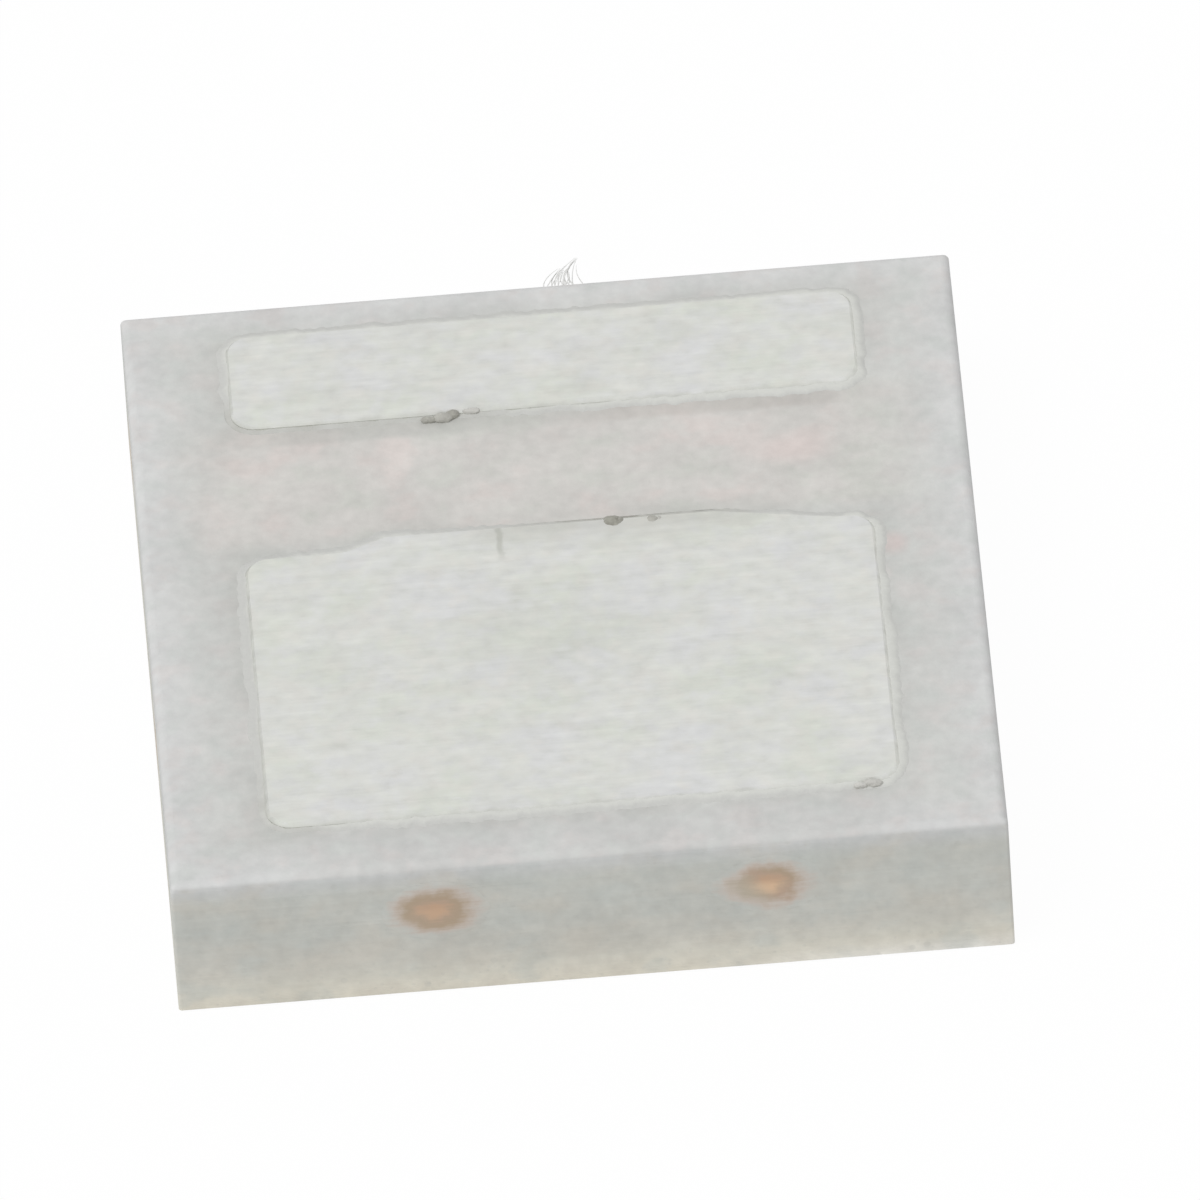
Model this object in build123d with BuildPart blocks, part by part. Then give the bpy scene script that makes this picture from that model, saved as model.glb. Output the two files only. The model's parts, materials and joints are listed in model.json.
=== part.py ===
from build123d import *
from math import hypot
import os

# Surface-mount light-emitting diode in a moulded cup package, in millimetres.
# It lies on its light-emitting face. Z = 0 is the rim round that face and +Z points out of the
# solder pads. X runs along the pads, and Y from the wide cathode pad to the narrow anode pad.

# Moulded body
package_width = 3.0
package_length = 3.0
body_height = 0.62
face_edge_round = 0.035
sawn_edge_round = 0.012
rim_edge_break = 0.01
pad_groove_width = 0.02
pad_groove_depth = 0.03

# Solder pads: the faces of the leads that stand out of the moulding
pad_proud = 0.02
pad_side_margin = 0.365
pad_near_margin = 0.25
pad_far_margin = 0.175
pad_gap = 0.62
anode_pad_length = 0.485
pad_corner_round = 0.09
pad_edge_break = 0.012

# The cathode pad's edge towards the gap steps back at both ends
left_shoulder_width = 0.36
left_shoulder_slope = 0.15
left_shoulder_drop = 0.065
right_shoulder_width = 0.14
right_shoulder_slope = 0.43
right_shoulder_drop = 0.08
shoulder_round = 0.12

# Lead frame: full thickness at the pads, etched thin round them so that the moulding grips it
lead_thickness = 0.30
ledge_thickness = 0.15
side_ledge = 0.125
near_ledge = 0.11
far_ledge = 0.085
gap_ledge = 0.17
ledge_corner_round = 0.10
etch_slope = 0.05

# Tie bars that held the leads in the frame, cut flush with the body when it was sawn out
tie_bar_width = 0.23
tie_bar_spacing = 1.20
tie_bar_round = 0.06
tie_bar_round_share = 0.45
tie_bar_root = 0.05

# Cup round the light source, open at the rim
rim_width = 0.20
cup_wall_run = 0.18
cup_corner_round = 0.60
notch_leg = 0.22
notch_margin = 0.06
notch_depth = 0.05

# Cast silicone with phosphor, its free surface dished by shrinkage
dish_depth = 0.03
dish_margin = 0.06
loop_cover = 0.05

# Light-emitting chips, one each side of the middle
chip_width = 0.60
chip_length = 0.90
chip_height = 0.13
chip_pitch = 0.96
electrode_inset = 0.10

# Protection diode
esd_size = 0.22
esd_height = 0.10
esd_x = 0.35

# Adhesive under each die, squeezed out into a fillet round it
glue_thickness = 0.012
glue_climb = 0.028
glue_spread = 0.04
glue_top_spread = 0.012

# Gold wires, from a ball bond on a die to a stitch bond under a bump
wire_radius = 0.0125
bond_radius = 0.036
ball_height = 0.024
bump_height = 0.03
neck_cut = 0.03
neck_cut_share = 0.4
loop_rise = 0.01
loop_flat_share = 0.4
anode_stitch_x = -0.30
cathode_stitch_reach = 0.40
esd_stitch_reach = 0.25

# Levels
pad_face_z = body_height + pad_proud
floor_z = pad_face_z - lead_thickness
ledge_z = floor_z + ledge_thickness
tie_bar_z = floor_z + ledge_thickness / 2
chip_face_z = floor_z - glue_thickness - chip_height
esd_face_z = floor_z - glue_thickness - esd_height
loop_z = dish_depth + loop_cover

# Pads, and the ledges round them
pad_half_width = package_width / 2 - pad_side_margin
cathode_near_y = -package_length / 2 + pad_near_margin
anode_far_y = package_length / 2 - pad_far_margin
anode_near_y = anode_far_y - anode_pad_length
cathode_far_y = anode_near_y - pad_gap
ledge_half_width = pad_half_width + side_ledge
cathode_ledge_near_y = cathode_near_y - near_ledge
cathode_ledge_far_y = cathode_far_y + gap_ledge
anode_ledge_near_y = anode_near_y - gap_ledge
anode_ledge_far_y = anode_far_y + far_ledge
tie_bar_corner = min(tie_bar_round, tie_bar_round_share * min(ledge_thickness, tie_bar_width))

# The body's walls, as planes that face outwards
near_wall = Plane.XZ.offset(package_length / 2)
far_wall = Plane(origin=(0, package_length / 2, 0), x_dir=(-1, 0, 0), z_dir=(0, 1, 0))
right_wall = Plane.YZ.offset(package_width / 2)
left_wall = Plane(origin=(-package_width / 2, 0, 0), x_dir=(0, -1, 0), z_dir=(-1, 0, 0))

# Cup, and the places on its floor
cup_width = package_width - 2 * rim_width
cup_length = package_length - 2 * rim_width
chip_y = (cup_wall_run - cup_length / 2 + cathode_ledge_far_y) / 2
chip_far_y = chip_y + chip_length / 2
far_electrode_y = chip_far_y - electrode_inset
near_electrode_y = chip_y - chip_length / 2 + electrode_inset
cathode_stitch_y = (chip_far_y + cathode_ledge_far_y) / 2
anode_strip_y = (anode_ledge_near_y + cup_length / 2 - cup_wall_run) / 2


def tie_bar_ends(wall, places):
    """Sections of the etched tie bars on one wall of the body, at distances along the wall."""
    with BuildSketch(wall) as ends:
        with Locations(*[(place, tie_bar_z) for place in places]):
            RectangleRounded(tie_bar_width, ledge_thickness, tie_bar_corner)
    return ends.sketch


def lead_ledge(near_y, far_y):
    """Outline of a lead's thin ledge between two Y places."""
    with BuildSketch(Plane.XY.offset(floor_z)) as ledge:
        with Locations((0, (near_y + far_y) / 2)):
            RectangleRounded(2 * ledge_half_width, far_y - near_y, ledge_corner_round)
    return ledge.sketch


def glue_layer(die, x, y, width, length):
    """Adhesive between the leads and a die of this size, with a fillet round the die's foot."""
    with BuildPart() as glue:
        for level, spread in (
            (floor_z, glue_spread),
            (floor_z - glue_thickness - glue_climb, glue_top_spread),
        ):
            with BuildSketch(Plane.XY.offset(level)):
                with Locations((x, y)):
                    RectangleRounded(width + 2 * spread, length + 2 * spread, spread)
        loft(ruled=True)
        add(die.part, mode=Mode.SUBTRACT)
    return glue


def bond_wire(ball_place, ball_z, stitch_place, stitch_z, die_edge=0):
    """Gold wire from a ball bond to a stitch bond, looped below both in an upright plane.

    The loop stays level past the die's edge, which is at this distance from the ball along Y.
    The cut at the neck's corner takes at most a share of the neck's own length.
    """
    run_x = stitch_place[0] - ball_place[0]
    run_y = stitch_place[1] - ball_place[1]
    span = hypot(run_x, run_y)
    level_run = loop_flat_share * span
    if die_edge:
        level_run = max(level_run, span * die_edge / abs(run_y) + wire_radius)
    neck = min(neck_cut, neck_cut_share * (ball_z - ball_height / 2 - loop_z))
    upright = Plane(origin=(*ball_place, 0), x_dir=(run_x, run_y, 0), z_dir=(run_y, -run_x, 0))
    with BuildPart() as wire:
        for place, face_z, height in (
            (ball_place, ball_z, ball_height),
            (stitch_place, stitch_z, bump_height),
        ):
            with BuildSketch(Plane(origin=(*place, face_z), z_dir=(0, 0, -1))):
                Circle(bond_radius)
            extrude(amount=height)
        with BuildLine(upright) as route:
            Polyline(
                (0, ball_z - ball_height / 2),
                (0, loop_z + neck),
                (neck, loop_z),
                (level_run, loop_z + loop_rise),
                (span, stitch_z - bump_height / 2),
            )
        with BuildSketch(Plane(origin=route.line @ 0, z_dir=route.line % 0)):
            Circle(wire_radius)
        sweep(transition=Transition.RIGHT)
    return wire


# Outlines of the solder pads
with BuildSketch() as cathode_pad:
    left_rise_x = left_shoulder_width - pad_half_width
    right_fall_x = pad_half_width - right_shoulder_width
    with BuildLine():
        FilletPolyline(
            (-pad_half_width, cathode_near_y),
            (pad_half_width, cathode_near_y),
            (pad_half_width, cathode_far_y - right_shoulder_drop),
            (right_fall_x, cathode_far_y - right_shoulder_drop),
            (right_fall_x - right_shoulder_slope, cathode_far_y),
            (left_rise_x + left_shoulder_slope, cathode_far_y),
            (left_rise_x, cathode_far_y - left_shoulder_drop),
            (-pad_half_width, cathode_far_y - left_shoulder_drop),
            radius=[pad_corner_round] * 3 + [shoulder_round] * 4 + [pad_corner_round],
            close=True,
        )
    make_face()

with BuildSketch() as anode_pad:
    with Locations((0, (anode_near_y + anode_far_y) / 2)):
        RectangleRounded(2 * pad_half_width, anode_pad_length, pad_corner_round)

# Leads: a thin ledge with the solder pad standing on it, and tie bars out to the walls
side_bar_length = package_width / 2 - ledge_half_width + tie_bar_root
tie_bar_pair = (-tie_bar_spacing / 2, tie_bar_spacing / 2)

with BuildPart() as cathode_lead:
    extrude(lead_ledge(cathode_ledge_near_y, cathode_ledge_far_y), amount=ledge_thickness)
    with BuildSketch(Plane.XY.offset(ledge_z)):
        add(cathode_pad.sketch)
    extrude(amount=pad_face_z - ledge_z)
    chamfer(cathode_lead.edges(Select.LAST).group_by(Axis.Z)[0], etch_slope)
    chamfer(cathode_lead.faces().sort_by(Axis.Z)[-1].edges(), pad_edge_break)
    near_bar_length = package_length / 2 + cathode_ledge_near_y + tie_bar_root
    extrude(tie_bar_ends(near_wall, tie_bar_pair), amount=-near_bar_length)
    cathode_bar_y = (cathode_ledge_near_y + cathode_ledge_far_y) / 2
    extrude(tie_bar_ends(right_wall, [cathode_bar_y]), amount=-side_bar_length)
    extrude(tie_bar_ends(left_wall, [-cathode_bar_y]), amount=-side_bar_length)

with BuildPart() as anode_lead:
    extrude(lead_ledge(anode_ledge_near_y, anode_ledge_far_y), amount=ledge_thickness)
    with BuildSketch(Plane.XY.offset(ledge_z)):
        add(anode_pad.sketch)
    extrude(amount=pad_face_z - ledge_z)
    chamfer(anode_lead.edges(Select.LAST).group_by(Axis.Z)[0], etch_slope)
    chamfer(anode_lead.faces().sort_by(Axis.Z)[-1].edges(), pad_edge_break)
    far_bar_length = package_length / 2 - anode_ledge_far_y + tie_bar_root
    extrude(tie_bar_ends(far_wall, tie_bar_pair), amount=-far_bar_length)
    anode_bar_y = (anode_ledge_near_y + anode_ledge_far_y) / 2
    extrude(tie_bar_ends(right_wall, [anode_bar_y]), amount=-side_bar_length)
    extrude(tie_bar_ends(left_wall, [-anode_bar_y]), amount=-side_bar_length)

# Space inside the cup, from the rim to the leads
with BuildPart() as cup_space:
    for level, inset in ((0, 0), (floor_z, cup_wall_run)):
        with BuildSketch(Plane.XY.offset(level)):
            RectangleRounded(cup_width - 2 * inset, cup_length - 2 * inset, cup_corner_round - inset)
    loft(ruled=True)

# Moulded body: sawn block with the cup, the leads' bed and a fine groove round each pad
with BuildPart() as moulded_body:
    with BuildSketch():
        Rectangle(package_width, package_length)
    extrude(amount=body_height)
    fillet(moulded_body.edges().filter_by(Axis.Z), sawn_edge_round)
    fillet(moulded_body.faces().sort_by(Axis.Z)[-1].edges(), face_edge_round)
    chamfer(moulded_body.faces().sort_by(Axis.Z)[0].edges(), rim_edge_break)
    add(cup_space.part, mode=Mode.SUBTRACT)
    for pad in (cathode_pad, anode_pad):
        with BuildSketch(Plane.XY.offset(body_height)):
            offset(pad.sketch, amount=pad_groove_width)
        extrude(amount=-pad_groove_depth, mode=Mode.SUBTRACT)
    for lead in (cathode_lead, anode_lead):
        add(lead.part, mode=Mode.SUBTRACT)
    # Three-cornered mark in the rim beside the cathode
    notch_x = notch_margin - package_width / 2
    notch_y = notch_margin - package_length / 2
    with BuildSketch():
        with BuildLine():
            Polyline(
                (notch_x, notch_y),
                (notch_x + notch_leg, notch_y),
                (notch_x, notch_y + notch_leg),
                close=True,
            )
        make_face()
    extrude(amount=notch_depth, mode=Mode.SUBTRACT)

# Light-emitting chips on the cathode lead
left_x = -chip_pitch / 2
right_x = chip_pitch / 2
chips = []
chip_glues = []
for chip_x in (left_x, right_x):
    with BuildPart() as chip:
        with BuildSketch(Plane.XY.offset(chip_face_z)):
            with Locations((chip_x, chip_y)):
                Rectangle(chip_width, chip_length)
        extrude(amount=chip_height)
    chips.append(chip)
    chip_glues.append(glue_layer(chip, chip_x, chip_y, chip_width, chip_length))

# Protection diode on the anode lead
with BuildPart() as esd_diode:
    with BuildSketch(Plane.XY.offset(esd_face_z)):
        with Locations((esd_x, anode_strip_y)):
            Rectangle(esd_size, esd_size)
    extrude(amount=esd_height)
esd_adhesive = glue_layer(esd_diode, esd_x, anode_strip_y, esd_size, esd_size)

# Wires: anode lead to first chip, first chip to second, second chip to cathode lead
bond_wire_anode = bond_wire(
    (left_x, far_electrode_y), chip_face_z, (anode_stitch_x, anode_strip_y), floor_z, electrode_inset
)
bond_wire_link = bond_wire(
    (left_x, near_electrode_y), chip_face_z, (right_x, near_electrode_y), chip_face_z
)
bond_wire_cathode = bond_wire(
    (right_x, far_electrode_y),
    chip_face_z,
    (right_x + cathode_stitch_reach, cathode_stitch_y),
    floor_z,
    electrode_inset,
)
esd_wire = bond_wire(
    (esd_x, anode_strip_y),
    esd_face_z,
    (esd_x - esd_stitch_reach, cathode_stitch_y),
    floor_z,
    esd_size / 2,
)

pieces_in_fill = {
    "chip_1": chips[0],
    "chip_2": chips[1],
    "die_attach_1": chip_glues[0],
    "die_attach_2": chip_glues[1],
    "bond_wire_anode": bond_wire_anode,
    "bond_wire_link": bond_wire_link,
    "bond_wire_cathode": bond_wire_cathode,
    "esd_diode": esd_diode,
    "esd_adhesive": esd_adhesive,
    "esd_wire": esd_wire,
}

# Silicone: fills the cup round the pieces on its floor, dished at its free surface
dish_half_width = min(cup_width, cup_length) / 2 - dish_margin
dish_radius = (dish_half_width**2 + dish_depth**2) / (2 * dish_depth)
with BuildPart() as phosphor_fill:
    add(cup_space.part)
    with Locations((0, 0, dish_depth - dish_radius)):
        Sphere(dish_radius, mode=Mode.SUBTRACT)
    for piece in pieces_in_fill.values():
        add(piece.part, mode=Mode.SUBTRACT)

pieces = {
    "moulded_body": moulded_body,
    "cathode_lead": cathode_lead,
    "anode_lead": anode_lead,
    "phosphor_fill": phosphor_fill,
    **pieces_in_fill,
}
os.makedirs("parts", exist_ok=True)
for name, piece in pieces.items():
    piece.part.label = name
    export_step(piece.part, f"parts/{name}.step")
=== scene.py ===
"""Looks of a square moulded surface-mount LED, 3.0 mm wide, lying on its light-emitting face.

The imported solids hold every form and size, and stay as they are. This script gives each of them
its finish and adds what grows on such a package: moulding flash round the solder pads, soldering
residue, copper smeared over the sawn tie bars, a fibre, and smooth bond wires in place of the
mitred ones. Sizes in this file are in millimetres, and a piece comes to metres as it is made.
"""

from __future__ import annotations

import json
import logging
import math
from dataclasses import dataclass
from enum import Enum
from typing import Any, Callable, Iterable, Optional, Sequence, Union

import bmesh
import bpy
from mathutils import Matrix, Vector

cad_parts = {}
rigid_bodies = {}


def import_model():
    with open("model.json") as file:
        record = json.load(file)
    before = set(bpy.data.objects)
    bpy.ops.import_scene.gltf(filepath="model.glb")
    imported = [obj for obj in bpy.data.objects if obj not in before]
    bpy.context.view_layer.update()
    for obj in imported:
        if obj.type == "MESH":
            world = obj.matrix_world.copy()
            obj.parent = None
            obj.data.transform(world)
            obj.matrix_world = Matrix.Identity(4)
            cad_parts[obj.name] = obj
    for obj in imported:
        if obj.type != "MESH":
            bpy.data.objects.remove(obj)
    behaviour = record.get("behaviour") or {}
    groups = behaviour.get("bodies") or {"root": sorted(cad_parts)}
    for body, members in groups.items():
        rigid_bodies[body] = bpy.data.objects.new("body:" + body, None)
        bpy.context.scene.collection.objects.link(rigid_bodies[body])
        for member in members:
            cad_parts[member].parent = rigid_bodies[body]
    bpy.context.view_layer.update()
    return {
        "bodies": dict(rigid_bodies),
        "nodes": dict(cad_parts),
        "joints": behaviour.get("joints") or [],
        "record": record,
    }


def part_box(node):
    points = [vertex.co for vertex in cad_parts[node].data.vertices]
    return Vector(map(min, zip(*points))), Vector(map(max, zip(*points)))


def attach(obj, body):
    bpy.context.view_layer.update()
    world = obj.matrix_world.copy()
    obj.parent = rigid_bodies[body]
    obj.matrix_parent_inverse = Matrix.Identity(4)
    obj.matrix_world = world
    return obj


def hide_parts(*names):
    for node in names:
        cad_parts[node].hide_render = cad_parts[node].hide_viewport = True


MM = 0.001
BODY = "root"

Mesh = bpy.types.Mesh
Object = bpy.types.Object
Material = bpy.types.Material
Frame = dict[str, Any]
Key = Union[int, str]
Span = tuple[float, float]
Point = tuple[float, float, float]
Colour = tuple[float, float, float, float]
Value = Union["Term", float, int, bool, str, Sequence[float], bpy.types.ID]
Method = Callable[["Term", Value], "Term"]

WHITE: Colour = (1.0, 1.0, 1.0, 1.0)

log = logging.getLogger("smd_led")


def tone(red: float, green: float, blue: float) -> Colour:
    """Turn a display colour, from 0 to 255, into the linear colour that a shader takes."""
    shares = (level / 255 for level in (red, green, blue))
    return (*(s / 12.92 if s <= 0.04045 else ((s + 0.055) / 1.055) ** 2.4 for s in shares), 1.0)


@dataclass(frozen=True)
class Grain:
    """A layer of noise: width of its blotches, strength, finer layers, shift and stretch."""

    size: float
    strength: float = 1.0
    detail: float = 2.0
    seed: float = 0.0
    stretch: Point = (1.0, 1.0, 1.0)


@dataclass(frozen=True)
class Patches:
    """Soft patches of a warmer and a cooler tone, with their width, strength and shift."""

    warm: Colour
    cool: Colour
    size: float
    strength: float
    seed: float
    stretch: Point = (1.4, 1.2, 1.0)
    warm_edge: Span = (0.50, 0.68)
    cool_edge: Span = (0.32, 0.50)


@dataclass(frozen=True)
class Speckles:
    """Scattered round grains: distance between cells, radius as a share of it, share of the
    cells that hold a grain, strength and shift."""

    pitch: float
    radius: float
    share: float
    strength: float
    seed: float = 0.0


@dataclass(frozen=True)
class Spot:
    """An oval: its middle, half its size along each axis, and the share over which it fades."""

    centre: Point
    reach: Point
    soft: float


def operators(operation: str) -> tuple[Method, Method]:
    """Make the plain and the reflected form of one of Python's operators.

    Args:
        operation: The Math node's operation.

    Returns:
        The two methods.
    """
    return (
        lambda term, other: term.graph.maths(operation, term, other),
        lambda term, other: term.graph.maths(operation, other, term),
    )


class Term:
    """One output of a node. Python's operators on it add Math nodes to its graph."""

    __add__, __radd__ = operators("ADD")
    __sub__, __rsub__ = operators("SUBTRACT")
    __mul__, __rmul__ = operators("MULTIPLY")
    __truediv__, __rtruediv__ = operators("DIVIDE")
    __pow__, __rpow__ = operators("POWER")
    at_least = operators("MAXIMUM")[0]
    at_most = operators("MINIMUM")[0]

    def __init__(self, graph: Graph, socket: bpy.types.NodeSocket) -> None:
        """Wrap a socket of the graph that it belongs to."""
        self.graph = graph
        self.socket = socket

    def size(self) -> Term:
        """Absolute value."""
        return self.graph.maths("ABSOLUTE", self)

    def rise(self, low: float, high: float) -> Term:
        """Smooth step from 0 at the low value to 1 at the high one."""
        inputs = {"Value": self, "From Min": low, "From Max": high}
        return self.graph.node("ShaderNodeMapRange", inputs, interpolation_type="SMOOTHSTEP")

    def fall(self, low: float, high: float) -> Term:
        """Smooth step from 1 at the low value to 0 at the high one."""
        return 1 - self.rise(low, high)

    def band(self, low: float, high: float, soft: float) -> Term:
        """Share that is 1 from low to high and fades over a soft width outside them."""
        return self.rise(low - soft, low) * self.fall(high, high + soft)

    def output(self, key: Key) -> Term:
        """Another output of the node that this one comes from."""
        return Term(self.graph, self.socket.node.outputs[key])


def total(terms: Iterable[Term]) -> Term:
    """Sum of some terms."""
    first, *rest = terms
    return sum(rest, first)


def weigh(terms: Sequence[Term], weights: Sequence[float]) -> Term:
    """Sum of some terms, each times its weight."""
    return total(term * weight for term, weight in zip(terms, weights))


class Graph:
    """A node tree under construction, of a material, of the surroundings or of a growth."""

    place: Term

    def __init__(self, tree: bpy.types.NodeTree) -> None:
        """Start on an emptied tree."""
        self.tree = tree
        tree.nodes.clear()

    def feed(self, socket: bpy.types.NodeSocket, value: Value) -> None:
        """Link a socket to a term, or set its plain value.

        Args:
            socket: The input to feed.
            value: The term or the plain value.
        """
        if isinstance(value, Term):
            self.tree.links.new(value.socket, socket)
        else:
            socket.default_value = value

    def node(
        self,
        kind: str,
        inputs: Optional[dict[Key, Value]] = None,
        output: Key = 0,
        **settings: Any,
    ) -> Term:
        """Add one node.

        Args:
            kind: Blender's type name of the node.
            inputs: Plain values or terms, by socket name or number.
            output: The output to return.
            **settings: Properties of the node, set first.

        Returns:
            The wrapped output.
        """
        made = self.tree.nodes.new(kind)
        for name, value in settings.items():
            setattr(made, name, value)
        for key, value in (inputs or {}).items():
            self.feed(made.inputs[key], value)
        return Term(self, made.outputs[output])

    def end(self, kind: str, socket: str, value: Term) -> None:
        """Add the tree's output node and link a term to it."""
        self.feed(self.tree.nodes.new(kind).inputs[socket], value)

    def maths(self, operation: str, first: Value, second: Value = 0.0) -> Term:
        """Add a Math node on two values."""
        return self.node("ShaderNodeMath", {0: first, 1: second}, operation=operation)

    def vector(self, operation: str, *values: Value, output: Key = 0) -> Term:
        """Add a Vector Math node on one to three vectors."""
        inputs = dict(enumerate(values))
        return self.node("ShaderNodeVectorMath", inputs, output, operation=operation)

    def length(self, vector: Term) -> Term:
        """Length of a vector."""
        return self.vector("LENGTH", vector, output="Value")

    def split(self, vector: Term) -> tuple[Term, Term, Term]:
        """The three parts of a vector."""
        first = self.node("ShaderNodeSeparateXYZ", {0: vector})
        return first, first.output(1), first.output(2)

    def join(self, x: Value, y: Value, z: Value) -> Term:
        """A vector from its three parts."""
        return self.node("ShaderNodeCombineXYZ", {0: x, 1: y, 2: z})

    def noise(self, grain: Grain, place: Optional[Term] = None) -> Term:
        """Soft noise about 0.5, mostly from 0.3 to 0.7.

        Args:
            grain: Its size, detail, shift and stretch.
            place: Coordinates in millimetres, if not the tree's own.

        Returns:
            The noise.
        """
        scale = tuple(1 / (grain.size * longer) for longer in grain.stretch)
        spot = self.vector("MULTIPLY_ADD", place or self.place, scale, (grain.seed,) * 3)
        inputs = {"Vector": spot, "Scale": 1.0, "Detail": grain.detail}
        return self.node("ShaderNodeTexNoise", inputs)

    def layers(self, *grains: Grain, place: Optional[Term] = None, about: float = 0.5) -> Term:
        """Sum of layers of noise, each at its own strength.

        Args:
            *grains: The layers.
            place: Coordinates in millimetres, if not the tree's own.
            about: Value of the noise that counts as nothing.

        Returns:
            The sum.
        """
        return total((self.noise(grain, place) - about) * grain.strength for grain in grains)

    def seen(self) -> Term:
        """1 for what the camera sees, straight, mirrored or through glass, and 0 for light."""
        path = self.node("ShaderNodeLightPath", output="Is Camera Ray")
        mirrored, through = path.output("Is Glossy Ray"), path.output("Is Transmission Ray")
        return path.at_least(mirrored).at_least(through)


class Surface(Graph):
    """The shader tree of one material, with object coordinates in millimetres."""

    def __init__(self, name: str) -> None:
        """Start an empty material.

        Args:
            name: Its name.
        """
        self.made = bpy.data.materials.new(name)
        self.made.use_nodes = True
        super().__init__(self.made.node_tree)
        metres = self.node("ShaderNodeTexCoord", output="Object")
        self.place = self.vector("MULTIPLY", metres, (1 / MM,) * 3)
        self.x, self.y, self.z = self.split(self.place)

    def attribute(self, name: str, output: str = "Fac") -> Term:
        """A value or a vector that the piece holds at its points."""
        return self.node("ShaderNodeAttribute", output=output, attribute_name=name)

    def outward(self) -> Term:
        """Distance from the middle towards the nearest wall."""
        return self.x.size().at_least(self.y.size())

    def mix(self, first: Value, second: Value, share: Value) -> Term:
        """Colour between two colours."""
        return self.node("ShaderNodeMix", {0: share, 6: first, 7: second}, 2, data_type="RGBA")

    def dim(self, colour: Value, factor: Term) -> Term:
        """Colour times a factor that varies over the surface."""
        return self.node("ShaderNodeVectorMath", {0: colour, "Scale": factor}, operation="SCALE")

    def patched(self, colour: Value, patches: Patches) -> Term:
        """Lay soft patches of a warmer and a cooler tone over a colour.

        Args:
            colour: The colour between the patches.
            patches: Their tones, size and strength.

        Returns:
            The patched colour.
        """
        grain = Grain(patches.size, detail=3, seed=patches.seed, stretch=patches.stretch)
        noise, strength = self.noise(grain), patches.strength
        warmed = self.mix(colour, patches.warm, noise.rise(*patches.warm_edge) * strength)
        return self.mix(warmed, patches.cool, noise.fall(*patches.cool_edge) * strength)

    def spot(self, spot: Spot) -> Term:
        """Soft oval mask: 1 in the middle and 0 outside."""
        away = self.vector("SUBTRACT", self.place, spot.centre)
        return self.length(self.vector("DIVIDE", away, spot.reach)).fall(1 - spot.soft, 1.0)

    def speckled(self, *kinds: Speckles) -> Term:
        """Sum of scattered grains, each kind at its own strength.

        Args:
            *kinds: The kinds of grains.

        Returns:
            The strength inside a grain and 0 between them.
        """
        masks = []
        for kind in kinds:
            scale, shift = (1 / kind.pitch,) * 3, (kind.seed,) * 3
            cell = self.vector("MULTIPLY_ADD", self.place, scale, shift)
            distance = self.node("ShaderNodeTexVoronoi", {"Vector": cell, "Scale": 1.0})
            chance = self.split(distance.output("Color"))[0]
            held = chance.rise(1 - kind.share, 1 - 0.9 * kind.share)
            masks.append(distance.fall(0.7 * kind.radius, kind.radius) * held * kind.strength)
        return total(masks)

    def close(
        self,
        colour: Value,
        roughness: Value,
        metallic: Value = 0.0,
        height: Optional[Term] = None,
        **fixed: Value,
    ) -> Material:
        """End the material in a Principled shader.

        Args:
            colour: Base colour.
            roughness: Roughness.
            metallic: Share of metal.
            height: Relief in millimetres, for the bump.
            **fixed: Plain values of other sockets, with underscores for spaces.

        Returns:
            The finished material.
        """
        inputs = {"Base Color": colour, "Roughness": roughness, "Metallic": metallic}
        if height is not None:
            relief = {"Strength": 1.0, "Distance": MM, "Height": height}
            inputs["Normal"] = self.node("ShaderNodeBump", relief)
        inputs |= {name.replace("_", " "): value for name, value in fixed.items()}
        shader = self.node("ShaderNodeBsdfPrincipled", inputs)
        self.end("ShaderNodeOutputMaterial", "Surface", shader)
        return self.made


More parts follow.
